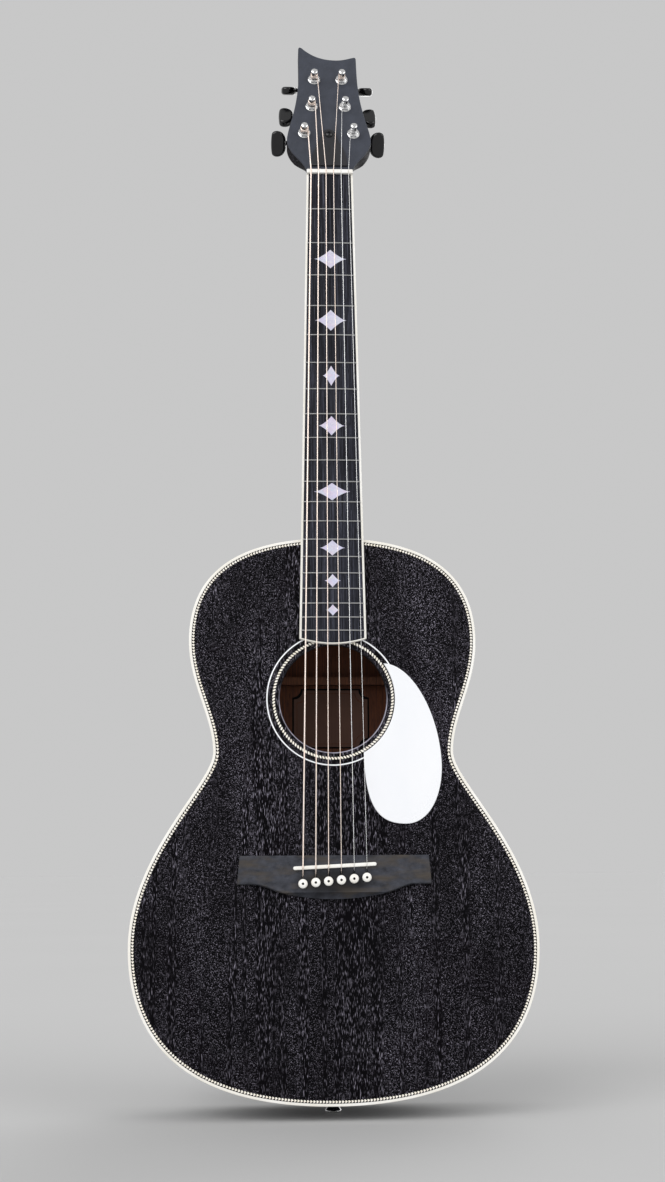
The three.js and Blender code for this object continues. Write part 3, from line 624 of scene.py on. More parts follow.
def inset_ring(points, inset):
    """A closed anticlockwise ring moved inwards, with mitred corners."""
    ring = []
    for k, here in enumerate(points):
        here, before, after = Vector(here), Vector(points[k - 1]), Vector(points[(k + 1) % len(points)])
        into, away = (here - before).normalized(), (after - here).normalized()
        inwards = Vector((-into.y, into.x))
        normal = (inwards + Vector((-away.y, away.x))).normalized()
        ring.append(tuple(here + normal * (inset / max(normal.dot(inwards), 0.4))))
    return ring


def ring_of(points):
    return lambda inset: inset_ring(points, inset)


def plate(points, *sizes):
    """A plate with an outline of points; its sizes are those of edge()."""
    return slab(ring_of(points), edge(*sizes))


def rounding(radius, steps):
    """Inset and depth of points round an edge, from its face to its side."""
    return [(radius * (1 - sin(a)), radius * (1 - cos(a))) for a in spread(0, pi / 2, steps)]


def fall(gap, radius=1):
    """How far a rounded edge lies back at a gap from its outside."""
    return radius - radius * sqrt(1 - (1 - bounded(gap / radius)) ** 2)


def added(name, data):
    """An object with that data, put in the scene."""
    thing = bpy.data.objects.new(name, data)
    bpy.context.scene.collection.objects.link(thing)
    return thing


def make(name, shape, materials, slot, body="body", place=None, stands_for=(), sharp=35, grain=None):
    """One piece, from a shape in millimetres, riding on a CAD body. Edges over sharp degrees stay crisp;
    grain gives each point's own coordinates for its material."""
    points, faces, marks = shape
    if place is not None:
        points = [place @ Vector(point) for point in points]
    mesh = bpy.data.meshes.new(name)
    mesh.from_pydata([Vector(point) * MM for point in points], [], faces)
    for material in materials if isinstance(materials, list) else [materials]:
        mesh.materials.append(material)
    mesh.polygons.foreach_set("material_index", marks)
    if grain is not None:
        layer = mesh.attributes.new("grain", "FLOAT_VECTOR", "POINT")
        layer.data.foreach_set("vector", np.array(grain, np.float32).ravel() * MM)
    work = bmesh.new()
    work.from_mesh(mesh)
    bmesh.ops.recalc_face_normals(work, faces=work.faces)
    work.to_mesh(mesh)
    work.free()
    mesh.shade_smooth()
    mesh.set_sharp_from_angle(angle=radians(sharp))
    piece = added(name, mesh)
    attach(piece, body)
    if stands_for:
        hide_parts(*stands_for)


# ---- the body's outline


def half_outline():
    """Dense points, tangents and running length of the treble half, from tail to neck."""
    (lower, lower_z), (waist, waist_z), (upper, upper_z) = LOWER, WAIST, UPPER
    curves = [
        ((132, TAIL_Z), (lower, lower_z - 73), LOWER),
        ((lower, lower_z + 78), (waist, waist_z - 26), WAIST),
        ((waist, waist_z + 31), (upper, upper_z - 39), UPPER),
        ((upper, upper_z + 56), (91, BODY_TOP_Z), (0, BODY_TOP_Z)),
    ]
    points = np.array(path((0, TAIL_Z), *((*curve, 250) for curve in curves)))
    steps = np.hypot(*np.diff(points, axis=0).T)
    tangents = np.gradient(points, axis=0)
    tangents /= np.hypot(*tangents.T)[:, None]
    tangents[0] = (1, 0)
    tangents[-1] = (-1, 0)
    return points, tangents, np.concatenate([[0], np.cumsum(steps)])


HALF_POINTS, HALF_TANGENTS, HALF_RUN = half_outline()
HALF_LENGTH = HALF_RUN[-1]


def body_at(distance, inset):
    """The point at a distance along the outline, anticlockwise from the tail, moved inwards."""
    distance = distance % (2 * HALF_LENGTH)
    bass = distance > HALF_LENGTH
    run = 2 * HALF_LENGTH - distance if bass else distance
    x, z = (np.interp(run, HALF_RUN, HALF_POINTS[:, n]) for n in (0, 1))
    tx, tz = (np.interp(run, HALF_RUN, HALF_TANGENTS[:, n]) for n in (0, 1))
    x, z = x - tz * inset, z + tx * inset
    return (-x if bass else x), z


def body_ring(inset):
    return [body_at(2 * HALF_LENGTH * k / BODY_POINTS, inset) for k in range(BODY_POINTS)]


# ---- soundbox


def hole_ring(radius):
    return circle(radius, 180, z=HOLE_Z)


def make_soundboard():
    back, ledge = TOP_Y + PLATE, TOP_Y + LEDGE
    inlay, rim = PURFLING_END + GAP, BINDING[0] + GAP
    profile = [(inlay + 0.35, TOP_Y), (inlay, TOP_Y), (inlay, ledge), (rim, ledge)]
    profile += [(rim, back), (rim + 0.35, back)]
    outer, inner = OUTER_RING[1] + GAP, INNER_RING[0] - GAP
    bore = [(outer + 0.35, TOP_Y), (outer, TOP_Y), (outer, ledge), (inner, ledge), (inner, TOP_Y)]
    bore.append((HOLE_RADIUS + 1.2, TOP_Y))
    first_edge = len(bore)
    bore += [(HOLE_RADIUS + u, TOP_Y + v) for u, v in rounding(HOLE_ROUND, 5)]
    bore += [(HOLE_RADIUS, back), (HOLE_RADIUS + 0.4, back)]
    shape = slab(body_ring, profile, hole_ring, bore, lambda r, i: int(r >= first_edge))
    make("soundboard_plate", shape, [BLACK_TOP, EDGE_WEAR_AND_HIGHLIGHT], "black_top", stands_for=["soundboard"])


def make_bindings():
    wide, deep = BINDING
    corner = 0.7
    outside = [(v, u) for u, v in rounding(corner, 4)]
    section = [(0, deep), *outside, (corner + 0.2, 0), (wide, 0), (wide, deep)]
    front = [lifted(body_ring(inset), TOP_Y + depth) for inset, depth in section]
    back = [lifted(body_ring(inset), lambda z, d=depth: back_y(z, d)) for inset, depth in section]
    for name, rings in (("top_binding", front), ("back_binding", back)):
        shape = skin(rings, along=True, caps=False)
        make(name + "_strip", shape, CREAM, "cream_binding", stands_for=[name])


def herringbone(point, length, rows, deep=1.4):
    """Inlaid strip of arrow-shaped pale tiles between dark ones, with a dark line on each side.

    point(distance, offset) runs along the strip, offset going inwards. Each row gives an offset,
    the pale share of the pitch there and how far the tile's corner lies ahead.
    """
    count = round(length / HERRINGBONE_PITCH)
    pitch = length / count
    face = [(offset, -PROUD, pale, ahead) for offset, pale, ahead in rows]
    rings = []
    for offset, depth, pale, ahead in [(rows[0][0], deep, 0.5, 0.0), *face, (rows[-1][0], deep, 0.5, 0.0)]:
        starts = [pitch * (k + ahead) for k in range(count)]
        ring = [point(start + pitch * half, offset) for start in starts for half in (-pale / 2, pale / 2)]
        rings.append(lifted(ring, TOP_Y + depth))
    return skin(rings, along=True, caps=False, mark=lambda r, i: int(1 < r < len(rows) - 1 and i % 2 == 0))


def make_purfling():
    start, end = BINDING[0] + 0.1, PURFLING_END
    rows = [(start, 0.15, 0.0), (start + 0.2, 0.15, 0.0), (start + 1.4, 0.8, 0.3)]
    rows += [(end - 0.2, 0.45, 0.1), (end, 0.45, 0.1)]
    shape = herringbone(body_at, 2 * HALF_LENGTH, rows)
    finish = [HERRING_DARK, HERRING_PALE]
    make("herringbone_purfling", shape, finish, "herringbone", stands_for=["top_purfling"])


def inlaid_ring(inner, outer, front):
    back = TOP_Y + 1.2
    section = [(inner, back), (inner, front + 0.1), (inner + 0.15, front), (outer - 0.15, front)]
    section += [(outer, front + 0.1), (outer, back)]
    return skin([lifted(hole_ring(radius), y) for radius, y in section], along=True, caps=False)


def make_rosette():
    """Herringbone ring, a ring of the top's black wood and a plain white ring."""
    inner, outer = INNER_RING
    middle = (inner + outer) / 2

    def round_hole(distance, radius):
        angle = distance / middle
        return radius * cos(angle), HOLE_Z + radius * sin(angle)

    rows = [(inner, 0.5, 0.0), (inner + 0.1, 0.5, 0.0), (middle, 0.76, 0.2)]
    rows += [(outer - 0.1, 0.5, 0.4), (outer, 0.5, 0.4)]
    shape = herringbone(round_hole, 2 * pi * middle, rows)
    make("herringbone_ring", shape, [HERRING_DARK, HERRING_PALE], "herringbone", stands_for=["rosette_inner"])
    white = inlaid_ring(*OUTER_RING, TOP_Y - PROUD)
    make("white_ring", white, WHITE, "white_plastic", stands_for=["rosette_outer"])
    black = inlaid_ring(outer + 0.02, OUTER_RING[0] - 0.02, TOP_Y)
    make("black_ring", black, BLACK_TOP, "black_top")


def make_sides():
    """Each side is bent from one strip, black outside and bare inside; its grain runs along it."""
    front = TOP_Y + BINDING[1]
    for name, start in (("side_treble", 0.0), ("side_bass", HALF_LENGTH)):
        rings, grain = [], []
        for run in spread(start + 0.1, start + HALF_LENGTH - 0.1, 220):
            ring = []
            for inset, behind in ((0, False), (0, True), (SIDE_THICK, True), (SIDE_THICK, False)):
                x, z = body_at(run, inset)
                ring.append((x, back_y(z, BINDING[1]) if behind else front, z))
            rings.append(ring)
            grain += [(point[1], 0, run) for point in ring]
        shape = skin(rings, mark=lambda r, i: int(i == 2))
        make(name + "_wall", shape, [BLACK_SIDE, BROWN], "black_wood", stands_for=[name], grain=grain)


def make_back():
    """Slightly arched outside, flat inside where the braces lie."""
    edge_ring = body_ring(BINDING[0] + GAP)
    middle = 260
    rings = []
    for share in spread(0, 1, 12)[1:]:
        spots = [(x * share, middle + (z - middle) * share) for x, z in edge_ring]
        rings.append([(x, back_y(z) + BACK_ARCH * (1 - share**2), z) for x, z in spots])
    rings.append(lifted(edge_ring, lambda z: back_y(z, PLATE)))
    shape = skin(rings)
    shape[2][-1] = 1  # the inside, which is the last face
    make("back_plate", shape, [BLACK_WOOD, BROWN], "black_wood", stands_for=["back"])


def make_linings():
    """Kerfed linings: a strip of small blocks divided by saw cuts, glued round the rim."""
    pitch, cut, high = 5.5, 1.2, 14
    outer, wide, floor = SIDE_THICK + 0.1, 6.0, 1.2
    teeth = round(2 * HALF_LENGTH / pitch)
    tooth = [(0, wide), (pitch - cut, wide), (pitch - cut + 0.05, floor), (pitch - 0.05, floor)]
    for name, behind in (("lining_top", False), ("lining_back", True)):
        rings = []
        for start in spread(0, 2 * HALF_LENGTH, teeth)[:-1]:
            for run, reach in tooth:
                ring = []
                section = [(0, 0), (reach, 0), (reach, high * 0.45), (min(reach, 1.6), high), (0, high)]
                for inset, depth in section:
                    x, z = body_at(start + run, outer + inset)
                    depth += PLATE + GAP
                    ring.append((x, back_y(z, depth) if behind else TOP_Y + depth, z))
                rings.append(ring)
        shape = skin(rings, along=True, caps=False)
        make(name + "_kerfed", shape, SPRUCE, "spruce", stands_for=[name], sharp=25)


def make_pickguard():
    """A long drop whose inner edge follows the rosette."""
    inside = arc(PICKGUARD_ARC, -60.8, 34.8, 30, z=HOLE_Z)
    foot, tip = inside[0], inside[-1]
    upper = (68, 386), (93, 345), (94.5, 297), 24
    lower = (94.5, 268), (82, 246), (62.6, 246), 18
    ring = path(tip, upper, lower, ((40, 246), (27, 258), foot, 24)) + inside[1:-1]
    low, high = box_mm("pickguard")
    shape = plate(ring[::-1], low.y, high.y + 0.15, 0.5)
    make("pickguard_plate", shape, WHITE, "white_plastic", stands_for=["pickguard"])


# ---- bridge

BRIDGE_BACK = bridge_high.y
BRIDGE_HIGH = bridge_high.y - bridge_low.y
BRIDGE_TOP_Z, BRIDGE_BELLY_Z = bridge_high.z, bridge_low.z
BRIDGE_WING_Z = 195
BRIDGE_HALF = 81.5
BRIDGE_FLARE = bridge_high.x
BELLY_HALF = 43
BELLY_EDGE_Z = 187.4


def bridge_bottom(x):
    """Lower edge of the bridge: a shallow belly arc, then a curve up to each wing."""
    x = abs(x)
    if x < BELLY_HALF:
        return mix(BRIDGE_BELLY_Z, BELLY_EDGE_Z, (x / BELLY_HALF) ** 2)
    t = min((x - BELLY_HALF) / 27, 1)
    return mix(BELLY_EDGE_Z, BRIDGE_WING_Z, mix(smooth(t), sin(t * pi / 2), 0.4))


def bridge_half(z):
    """Half length of the bridge at height z; its ends lean inwards towards the top."""
    return mix(BRIDGE_FLARE, BRIDGE_HALF, (z - BRIDGE_WING_Z) / (BRIDGE_TOP_Z - BRIDGE_WING_Z))


def bridge_front(x, z):
    """Depth of the bridge's face: scooped wings, bevelled belly, rounded edges, string ramps."""
    wing = bounded((abs(x) - 58) / 22)
    high = BRIDGE_HIGH - 4.7 * sin(wing * pi / 2)
    low_edge = bridge_bottom(x)
    bevel = bevel_top(x) - low_edge
    share = bounded((z - low_edge) / bevel)
    high -= (1 - share) * mix(1.2, high - 2.6, min(bevel / 4, 1))
    for gap in (BRIDGE_TOP_Z - z, bridge_half(z) - abs(x)):
        high -= fall(gap)
    for i in range(len(STRINGS)):
        ramp = (pin_z(i) + 8.2 - z) / 6
        if abs(x - pin_x(i)) < 0.8 and 0 < ramp < 2:
            high -= 2.6 * min(ramp, 1)
    return BRIDGE_BACK - high


def bevel_top(x):
    """Upper edge of the belly's bevel, a straight line that runs out into the wings' edges."""
    return max(BELLY_EDGE_Z + 1.0, bridge_bottom(x) + 0.9)


def make_bridge():
    def place(u, v):
        x = u * BRIDGE_FLARE
        z = mix(bridge_bottom(x), bevel_top(x), v) if v < 1 else mix(bevel_top(x), BRIDGE_TOP_Z, v - 1)
        return u * bridge_half(z), z

    rows = spread(0, 1, 6)[:-1] + spread(1, 1.96, 60) + [1.97, 1.98, 1.988, 1.995, 2]
    ends = [0, 0.0005, 0.0015, 0.003, 0.005]
    columns = [e - 1 for e in ends] + [k / 210 for k in range(-208, 209)] + [1 - e for e in ends[::-1]]
    shape = relief(columns, rows, place, bridge_front, BRIDGE_BACK)
    make("bridge_block", shape, EBONY_BRIDGE, "ebony", stands_for=["bridge"], sharp=32)


def stadium(long, wide):
    """Ring of a bar with round ends, along x."""
    right = arc(wide / 2, -90, 90, 10, x=(long - wide) / 2)
    return right + [(-x, -z) for x, z in right]


def make_saddle():
    slant = atan2(SADDLE_RISE, SADDLE_LONG)
    place = shift(0, 0, saddle_z) @ Matrix.Rotation(-slant, 4, "Y")
    shape = plate(stadium(SADDLE_LONG, SADDLE_WIDE), saddle_low.y, saddle_high.y, 0.9)
    make("saddle_bone", shape, BONE, "bone", place=place, stands_for=["saddle"])


def make_bridge_pins():
    for i, (name, *_rest) in enumerate(STRINGS):
        body = "bridge_pin_" + name
        low, high = box_mm(body)
        x, z = pin_x(i), pin_z(i)
        rim = low.y + 1.9
        profile = dome(3.9, rim - 0.5, low.y)[::-1]
        profile += [(4.0, rim), (3.8, rim + 0.5), (3.2, rim + 0.9), (3.2, rim + 1.3), (2.5, rim + 1.5)]
        profile += [(2.2, high.y - 2), (1.4, high.y), (0, high.y)]
        make("pin_" + name, turned(profile, 40, x, z), BONE, "bone", body, stands_for=[body])
        dot = dome(1.05, low.y + 0.04, low.y - 0.06, 3)[::-1] + [(1.05, low.y + 0.5)]
        make("pin_dot_" + name, turned(dot, 24, x, z), PIN_DOT, "black_plastic", body)


# ---- fingerboard


def board_front(x, raised=0.0):
    return BOARD_FRONT + x * x / (2 * BOARD_RADIUS) - raised


def board_end(share):
    """Height of the board's rounded end at a share of its half width."""
    return BOARD_EDGE_Z - (BOARD_EDGE_Z - BOARD_END_Z) * (1 - share * share)


def make_fingerboard():
    def place(u, v):
        z = mix(board_end(u) + END_BINDING, BOARD_TOP_Z, v)
        return u * (board_half(z) - BOARD_BINDING), z

    shape = relief(spread(-1, 1, 24), spread(0, 1, 60), place, lambda x, z: board_front(x), BOARD_BACK)
    make("fingerboard_ebony", shape, EBONY_BOARD, "ebony", stands_for=["fingerboard"])


def make_board_binding():
    """One strip down the bass side, round the lower end and up the treble side."""
    half_top, half_end = board_half(BOARD_TOP_Z), board_half(BOARD_EDGE_Z)
    outer = [(half_end * share, board_end(share)) for share in spread(1, -1, 32)]
    rings = []
    for x, z in [(half_top, BOARD_TOP_Z), *outer, (-half_top, BOARD_TOP_Z)]:
        side = -1 if x < 0 else 1
        wide, inward = END_BINDING, (0, 1)
        if abs(z - BOARD_TOP_Z) < 0.01:
            wide, inward = BOARD_BINDING, (-side, 0)
        elif abs(abs(x) - half_end) < 0.01:
            wide, inward = BOARD_BINDING, (-side, END_BINDING / BOARD_BINDING)
        ring = []
        for inset, drop in ((0, 0.35), (0.12, 0.1), (0.35, 0), (wide, 0)):
            px, pz = x + inward[0] * inset, z + inward[1] * inset
            ring.append((px, board_front(px, 0.02) + drop, pz))
        ring += [(x + inward[0] * wide, BOARD_BACK, z + inward[1] * wide), (x, BOARD_BACK, z)]
        rings.append(ring)
    make("fingerboard_edging", skin(rings), CREAM, "cream_binding", stands_for=["fingerboard_binding"])


def make_frets():
    wide, high = FRET
    stations = [-1, -0.985, *spread(-0.96, 0.96, 16), 0.985, 1]
    for n in range(1, FRET_COUNT + 1):
        z = fret_z(n)
        half = board_half(z) - BOARD_BINDING + 0.3
        rings = []
        for u in stations:
            x = u * half
            rise = high * min(1, 0.25 + (1 - abs(u)) * 50)
            foot = board_front(x) + 0.2
            ring = [(x, foot, z - wide / 2), (x, foot, z + wide / 2)]
            for a in spread(0, pi, 8):
                ring.append((x, board_front(x, rise * sin(a) ** 0.8), z + wide / 2 * cos(a)))
            rings.append(ring)
        make(f"fret_{n:02d}", skin(rings), FRET_METAL, "fret_metal", sharp=45)


# fret, half width and half height of the pearl diamond in front of it
INLAYS = [(3, 14.5, 9), (5, 14, 10), (7, 7.5, 9.5), (9, 11.5, 9)]
INLAYS += [(12, 16, 8), (15, 11, 7), (17, 7, 6), (19, 6, 5)]
# fret and shift along the neck of each dot on the board's edge
SIDE_DOTS = [(3, 0), (5, 0), (7, 0), (9, 0), (12, 3), (12, -3), (15, 0), (17, 0), (19, 0)]


def between_frets(n):
    return (fret_z(n) + fret_z(n - 1)) / 2


def make_inlays():
    """Plain four-pointed diamonds with hollow sides."""
    columns = [copysign(abs(u) ** 1.3, u) for u in spread(-1, 1, 40)]
    for n, half_wide, half_high in INLAYS:

        def place(u, v, n=n, half_wide=half_wide, half_high=half_high):
            reach = max((1 - abs(u)) ** 1.5, 0.02)
            return u * half_wide, between_frets(n) + v * half_high * reach

        shape = relief(columns, spread(-1, 1, 4), place, lambda x, z: board_front(x, 0.05), BOARD_FRONT + 0.9)
        make(f"inlay_fret_{n:02d}", shape, PEARL, "pearl", sharp=60)


def make_side_dots():
    profile = [(0, -0.06), (1.0, -0.05), (1.1, 0.1), (1.1, 0.8), (0, 0.8)]
    for n, up in SIDE_DOTS:
        z = between_frets(n) + up
        place = shift(-board_half(z), (BOARD_FRONT + BOARD_BACK) / 2, z) @ along_x(1)
        name = f"side_dot_{n:02d}" + ("_low" if up < 0 else "")
        make(name, turned(profile, 20), BLACK_PLASTIC, "black_plastic", place=place)


def make_nut():
    """Rounded bone with a slot for each string."""

    def place(u, v):
        return u * NUT_HALF, mix(nut_low.z, nut_high.z, v)

    def front(x, z):
        depth = nut_low.y
        for gap, radius in ((NUT_HALF - abs(x), 1.3), (z - nut_low.z, 0.5), (nut_high.z - z, 1.2)):
            depth += fall(gap, radius)
        for i, (_name, gauge, *_rest) in enumerate(STRINGS):
            if abs(x - nut_x(i)) < gauge / 2 + 0.12:
                depth = max(depth, NUT_SLOT_Y)
        return depth

    rows = [0, 0.02, 0.05, 0.1, 0.2, 0.4, 0.6, 0.7, 0.78, 0.85, 0.91, 0.96, 0.985, 1]
    shape = relief(spread(-1, 1, 340), rows, place, front, nut_high.y)
    make("nut_bone", shape, BONE, "bone", stands_for=["nut"], sharp=50)


# ---- neck and headstock


def neck_stations():
    """Front line (y, z), rearmost line (y, z) and half width of the neck, from heel to headstock."""
    heel = [  # heights above the joint with the body
        (25.4, 0, 25.4, 20.3, 12.7),
        (14, 0, 14, 22.6, 14.0),
        (2, 0, 3, 25, 15.8),
        (-14, 0, -8, 27.2, 18.6),
        (-30, 0, -17, 30, 22.4),
        (-44, 0, -24, 34.5, 25.4),
        (-52.6, 6, -30, 41, 27.2),
        (TOP_Y, 24, -33.6, 52, board_half(525)),
        (TOP_Y, 48, -35.2, 68, board_half(548)),
        (TOP_Y, 80, -35.4, 88, board_half(580)),
    ]
    shaft = [(620, 17.5), (700, 16.7), (780, 15.8), (820, 15.2), (838, 15.2)]  # height and thickness
    rows = [(y, NECK_JOINT_Z + z, rear, NECK_JOINT_Z + rear_z, half) for y, z, rear, rear_z, half in heel]
    rows += [(TOP_Y, z, TOP_Y + thick, z, board_half(z)) for z, thick in shaft]
    rows.append((TOP_Y + 0.6, 850, TOP_Y + 16.2, 851, HEAD_FOOT[0]))
    rows.append((TOP_Y + 3.6, 862, TOP_Y + 18.0, 866, 21.8))
    rows.append((TOP_Y + 8.5, 876, TOP_Y + 18.2, 884, 20.0))
    return np.array(rows)


def eased(rows, steps):
    """Rows of numbers joined by smooth curves, with that many steps between each two."""
    padded = np.vstack([2 * rows[0] - rows[1], rows, 2 * rows[-1] - rows[-2]])
    made = []
    for k in range(1, len(padded) - 2):
        p0, p1, p2, p3 = padded[k - 1 : k + 3]
        bend, twist = 2 * p0 - 5 * p1 + 4 * p2 - p3, 3 * p1 - p0 - 3 * p2 + p3
        made += [(2 * p1 + (p2 - p0) * t + bend * t**2 + twist * t**3) / 2 for t in spread(0, 1, steps)[:-1]]
    return [*made, rows[-1]]


def make_neck():
    rings = []
    for front_y, front_z, rear, rear_z, half in eased(neck_stations(), 6):
        ring = []
        for angle in spread(0, pi, 28):
            across = copysign(abs(cos(angle)) ** 0.85, cos(angle))
            deep = max(sin(angle), 0) ** 0.85
            ring.append((half * across, mix(front_y, rear, deep), mix(front_z, rear_z, deep)))
        rings.append(ring)
    make("neck_shaft", skin(rings), BLACK_WOOD, "black_wood", stands_for=["neck"], sharp=50)


def make_heel_cap():
    ring = [(12.9 * x, NECK_JOINT_Z + 20.6 * z) for x, z in arc(1, 0, 180, 32)]
    shape = plate(ring, 25.2, 27, 0.1, 0.7)
    make("heel_cap", shape, CREAM, "cream_binding")


def head_outline():
    """The headstock's outline in its own plane, anticlockwise from the nut's treble end."""
    shoulder = (22, 12), (40, 18), (39.6, 36), 16
    flank = path(HEAD_FOOT, shoulder, ((38.3, 52), (29.2, 70), (28, 112), 24))
    corner = (27.6, 135.2), (26.6, 135.4), (25.5, 135.2), 5
    hollow = (22, 134.6), (16, 131.5), (8, 131.5), 12
    rise = (-8, 131.5), (-17, 138), (-24.2, 145.4), 16
    far_corner = (-26.4, 147.6), (-28.1, 147.6), (-28.2, 144), 6
    crown = [(27.7, 124), *path((27.6, 132.4), corner, hollow, rise, far_corner), (-28.1, 124)]
    return flank + crown + [(-x, h) for x, h in flank[-2::-1]]


def rounded_to_neck(point):
    """Pull a point of the headstock's lower end in towards the neck's round section."""
    x, y, h = point
    near = 0.97 * smooth((18 - h) / 21)
    deep = bounded((y - VENEER) / (HEAD_THICK - VENEER))
    section = (1 - deep**2.35) ** 0.425
    return x * mix(1, section, near), y, h


def make_headstock():
    """Wood that blends into the neck behind, and a thin dark face."""
    profile = edge(VENEER - 0.02, HEAD_THICK, 0.02, 0.6)
    half = len(profile) // 2
    side = [(0, mix(VENEER, HEAD_THICK - 0.6, sin(a))) for a in spread(0, pi / 2, 12)[1:-1]]
    points, faces, marks = slab(ring_of(head_outline()), profile[:half] + side + profile[half:])
    wood = [rounded_to_neck(point) for point in points], faces, marks
    make("headstock_wood", wood, BLACK_WOOD, "black_wood", place=HEAD_FRAME)
    face = plate(head_outline(), 0, VENEER, 0.6, 0, 5)
    make("headstock_face", face, HEAD_FACE, "ebony", place=HEAD_FRAME, stands_for=["headstock_veneer"])


def make_rod_cover():
    """Bell-shaped cover over the truss rod's nut, held by one screw."""
    right = path((16.8, 4), ((16.8, 22), (10, 28), (6.4, 40), 18))
    ring = right + arc(6.4, 0, 180, 16, z=40)[1:-1] + [(-x, z) for x, z in right[::-1]]
    cover = plate(ring, -2.0, -0.1, 0.7)
    finish = COVER_BLACK, "black_plastic"
    make("rod_cover_plate", cover, *finish, place=HEAD_FRAME, stands_for=["truss_rod_cover"])
    screw("rod_cover_screw", 3.7, 2.0, 0, -2.0, 40, BLACK_PLASTIC, "black_plastic")


def screw(name, radius, high, x, y, z, material, slot, facing=-1):
    """Domed screw head with a cross recess, standing on the plane y and facing -y or +y."""
    rings = []
    for share in (1.0, 0.99, 0.93, 0.84, 0.73, 0.62, 0.52, 0.43, 0.35, 0.27, 0.18, 0.09, 0.01):
        ring = []
        for px, pz in circle(radius * share, 48):
            rise = high * sqrt(1 - share**2)
            if share < 0.6 and min(abs(px), abs(pz)) < radius * 0.13:
                rise -= high * 0.45
            ring.append((x + px, y + facing * rise, z + pz))
        rings.append(ring)
    rings.insert(0, [(px, y - facing * 0.3, pz) for px, _y, pz in rings[0]])
    make(name, skin(rings), material, slot, place=HEAD_FRAME)


# ---- tuners


def rounded_box(low_x, high_x, low_z, high_z, radius):
    low_x, high_x, low_z, high_z = low_x + radius, high_x - radius, low_z + radius, high_z - radius
    corners = [(high_x, high_z), (low_x, high_z), (low_x, low_z), (high_x, low_z)]
    return [p for k, corner in enumerate(corners) for p in arc(radius, 90 * k, 90 * k + 90, 6, *corner)]


def make_tuner_case(name, place, side):
    """Cast housing with a lid line, a fixing ear and the worm's collar; the ear's screw is a piece of its
    own.
    """
    case = plate(rounded_box(-8, 8, -8.5, 14.5, 4), HEAD_THICK, CASE_BACK, 0.2, 3.4, 6)
    lid = plate(rounded_box(-5.4, 5.4, -5.9, 11.9, 3), CASE_BACK - 0.2, CASE_BACK + 0.5, 0.1, 0.4)
    ear = plate(rounded_box(-3.4, 3.4, -14.2, -6, 3.3), HEAD_THICK, HEAD_THICK + EAR_THICK, 0.1, 0.6)
    collar = turned([(0, 6.5), (3.5, 6.5), (3.5, 9.4), (3.1, 10), (3.1, 11.2), (2.7, 11.6), (0, 11.6)])
    collar = moved(collar, shift(0, WORM_DEPTH, WORM_OFFSET) @ along_x(side))
    shape = joined(case, lid, ear, collar)
    make("tuner_case_" + name, shape, CHROME, "chrome", place=place, stands_for=["tuner_housing_" + name])


def make_tuner_nut(name, place):
    """Washer, hexagonal nut with a turned collar, as it stands on the headstock's face."""
    washer = turned([(3.3, -0.02), (5.9, -0.02), (6.0, -0.3), (5.7, -0.7), (5.0, -0.9), (3.3, -0.9)])
    hexagon = [(5.2, -0.9), (5.6, -1.2), (5.6, -2.2), (5.2, -2.6), (4.6, -2.7)]
    nut = skin([lifted(circle(radius, 6), y) for radius, y in hexagon])
    lip = turned([(3.3, -2.5), (4.5, -2.5), (4.5, -3.1), (4.1, -3.45), (3.3, -3.45)])
    make("tuner_nut_" + name, joined(washer, nut, lip), CHROME, "chrome", place=place)


def string_finish(gauge):
    """Material and slot of a string: the thick ones are wound with bronze."""
    return (BRONZE, "bronze") if gauge > THINNEST_WOUND else (STEEL, "steel")


def make_tuner_post(name, place, side):
    """Turned post with a domed crown, a waist for the string, and a black rod across it that paints the shade
    of its cross hole.
    """
    body = "tuner_post_" + name
    profile = dome(POST_RADIUS, POST_TOP + 0.7, POST_TOP, 4)[::-1]
    profile += [(POST_RADIUS, POST_TOP + 2.2), (2.9, POST_TOP + 2.7), (POST_WAIST, POST_TOP + 3.3)]
    profile += [(POST_WAIST - 0.15, -6.5), (POST_WAIST, -4.2), (3.0, -3.4), (POST_RADIUS, -3.1)]
    profile += [(POST_RADIUS, 17), (0, 17)]
    # painted shade: the cross hole is a black rod through the post, dark where a real hole is in shade
    hole = moved(tube([(-3.2, -8.3, 0), (3.2, -8.3, 0)], 0.95, 16), spin(60 * side, "Y"))
    shape = joined(turned(profile), marked(hole, 1))
    make("post_" + name, shape, [CHROME, BLACK_PLASTIC], "chrome", body, place, [body])


def make_winding(name, place, side, gauge, turns):
    """The string's coil round its post, which turns with it."""
    reach = POST_WAIST + gauge / 2 + 0.05
    start, steps = WINDING_Y - gauge / 2, 20
    route = []
    for k in range(round(turns * steps) + 1):
        angle = 2 * pi * k / steps
        route.append((-side * reach * cos(angle), start - gauge * 1.04 * k / steps, reach * sin(angle)))
    x, y, z = route[-1]
    route.append((x * 0.3, y - gauge * 0.5, (z - 1) * 0.3 + 1))
    coil = tube(route, gauge / 2, 10)
    make("winding_" + name, coil, *string_finish(gauge), "tuner_post_" + name, place)


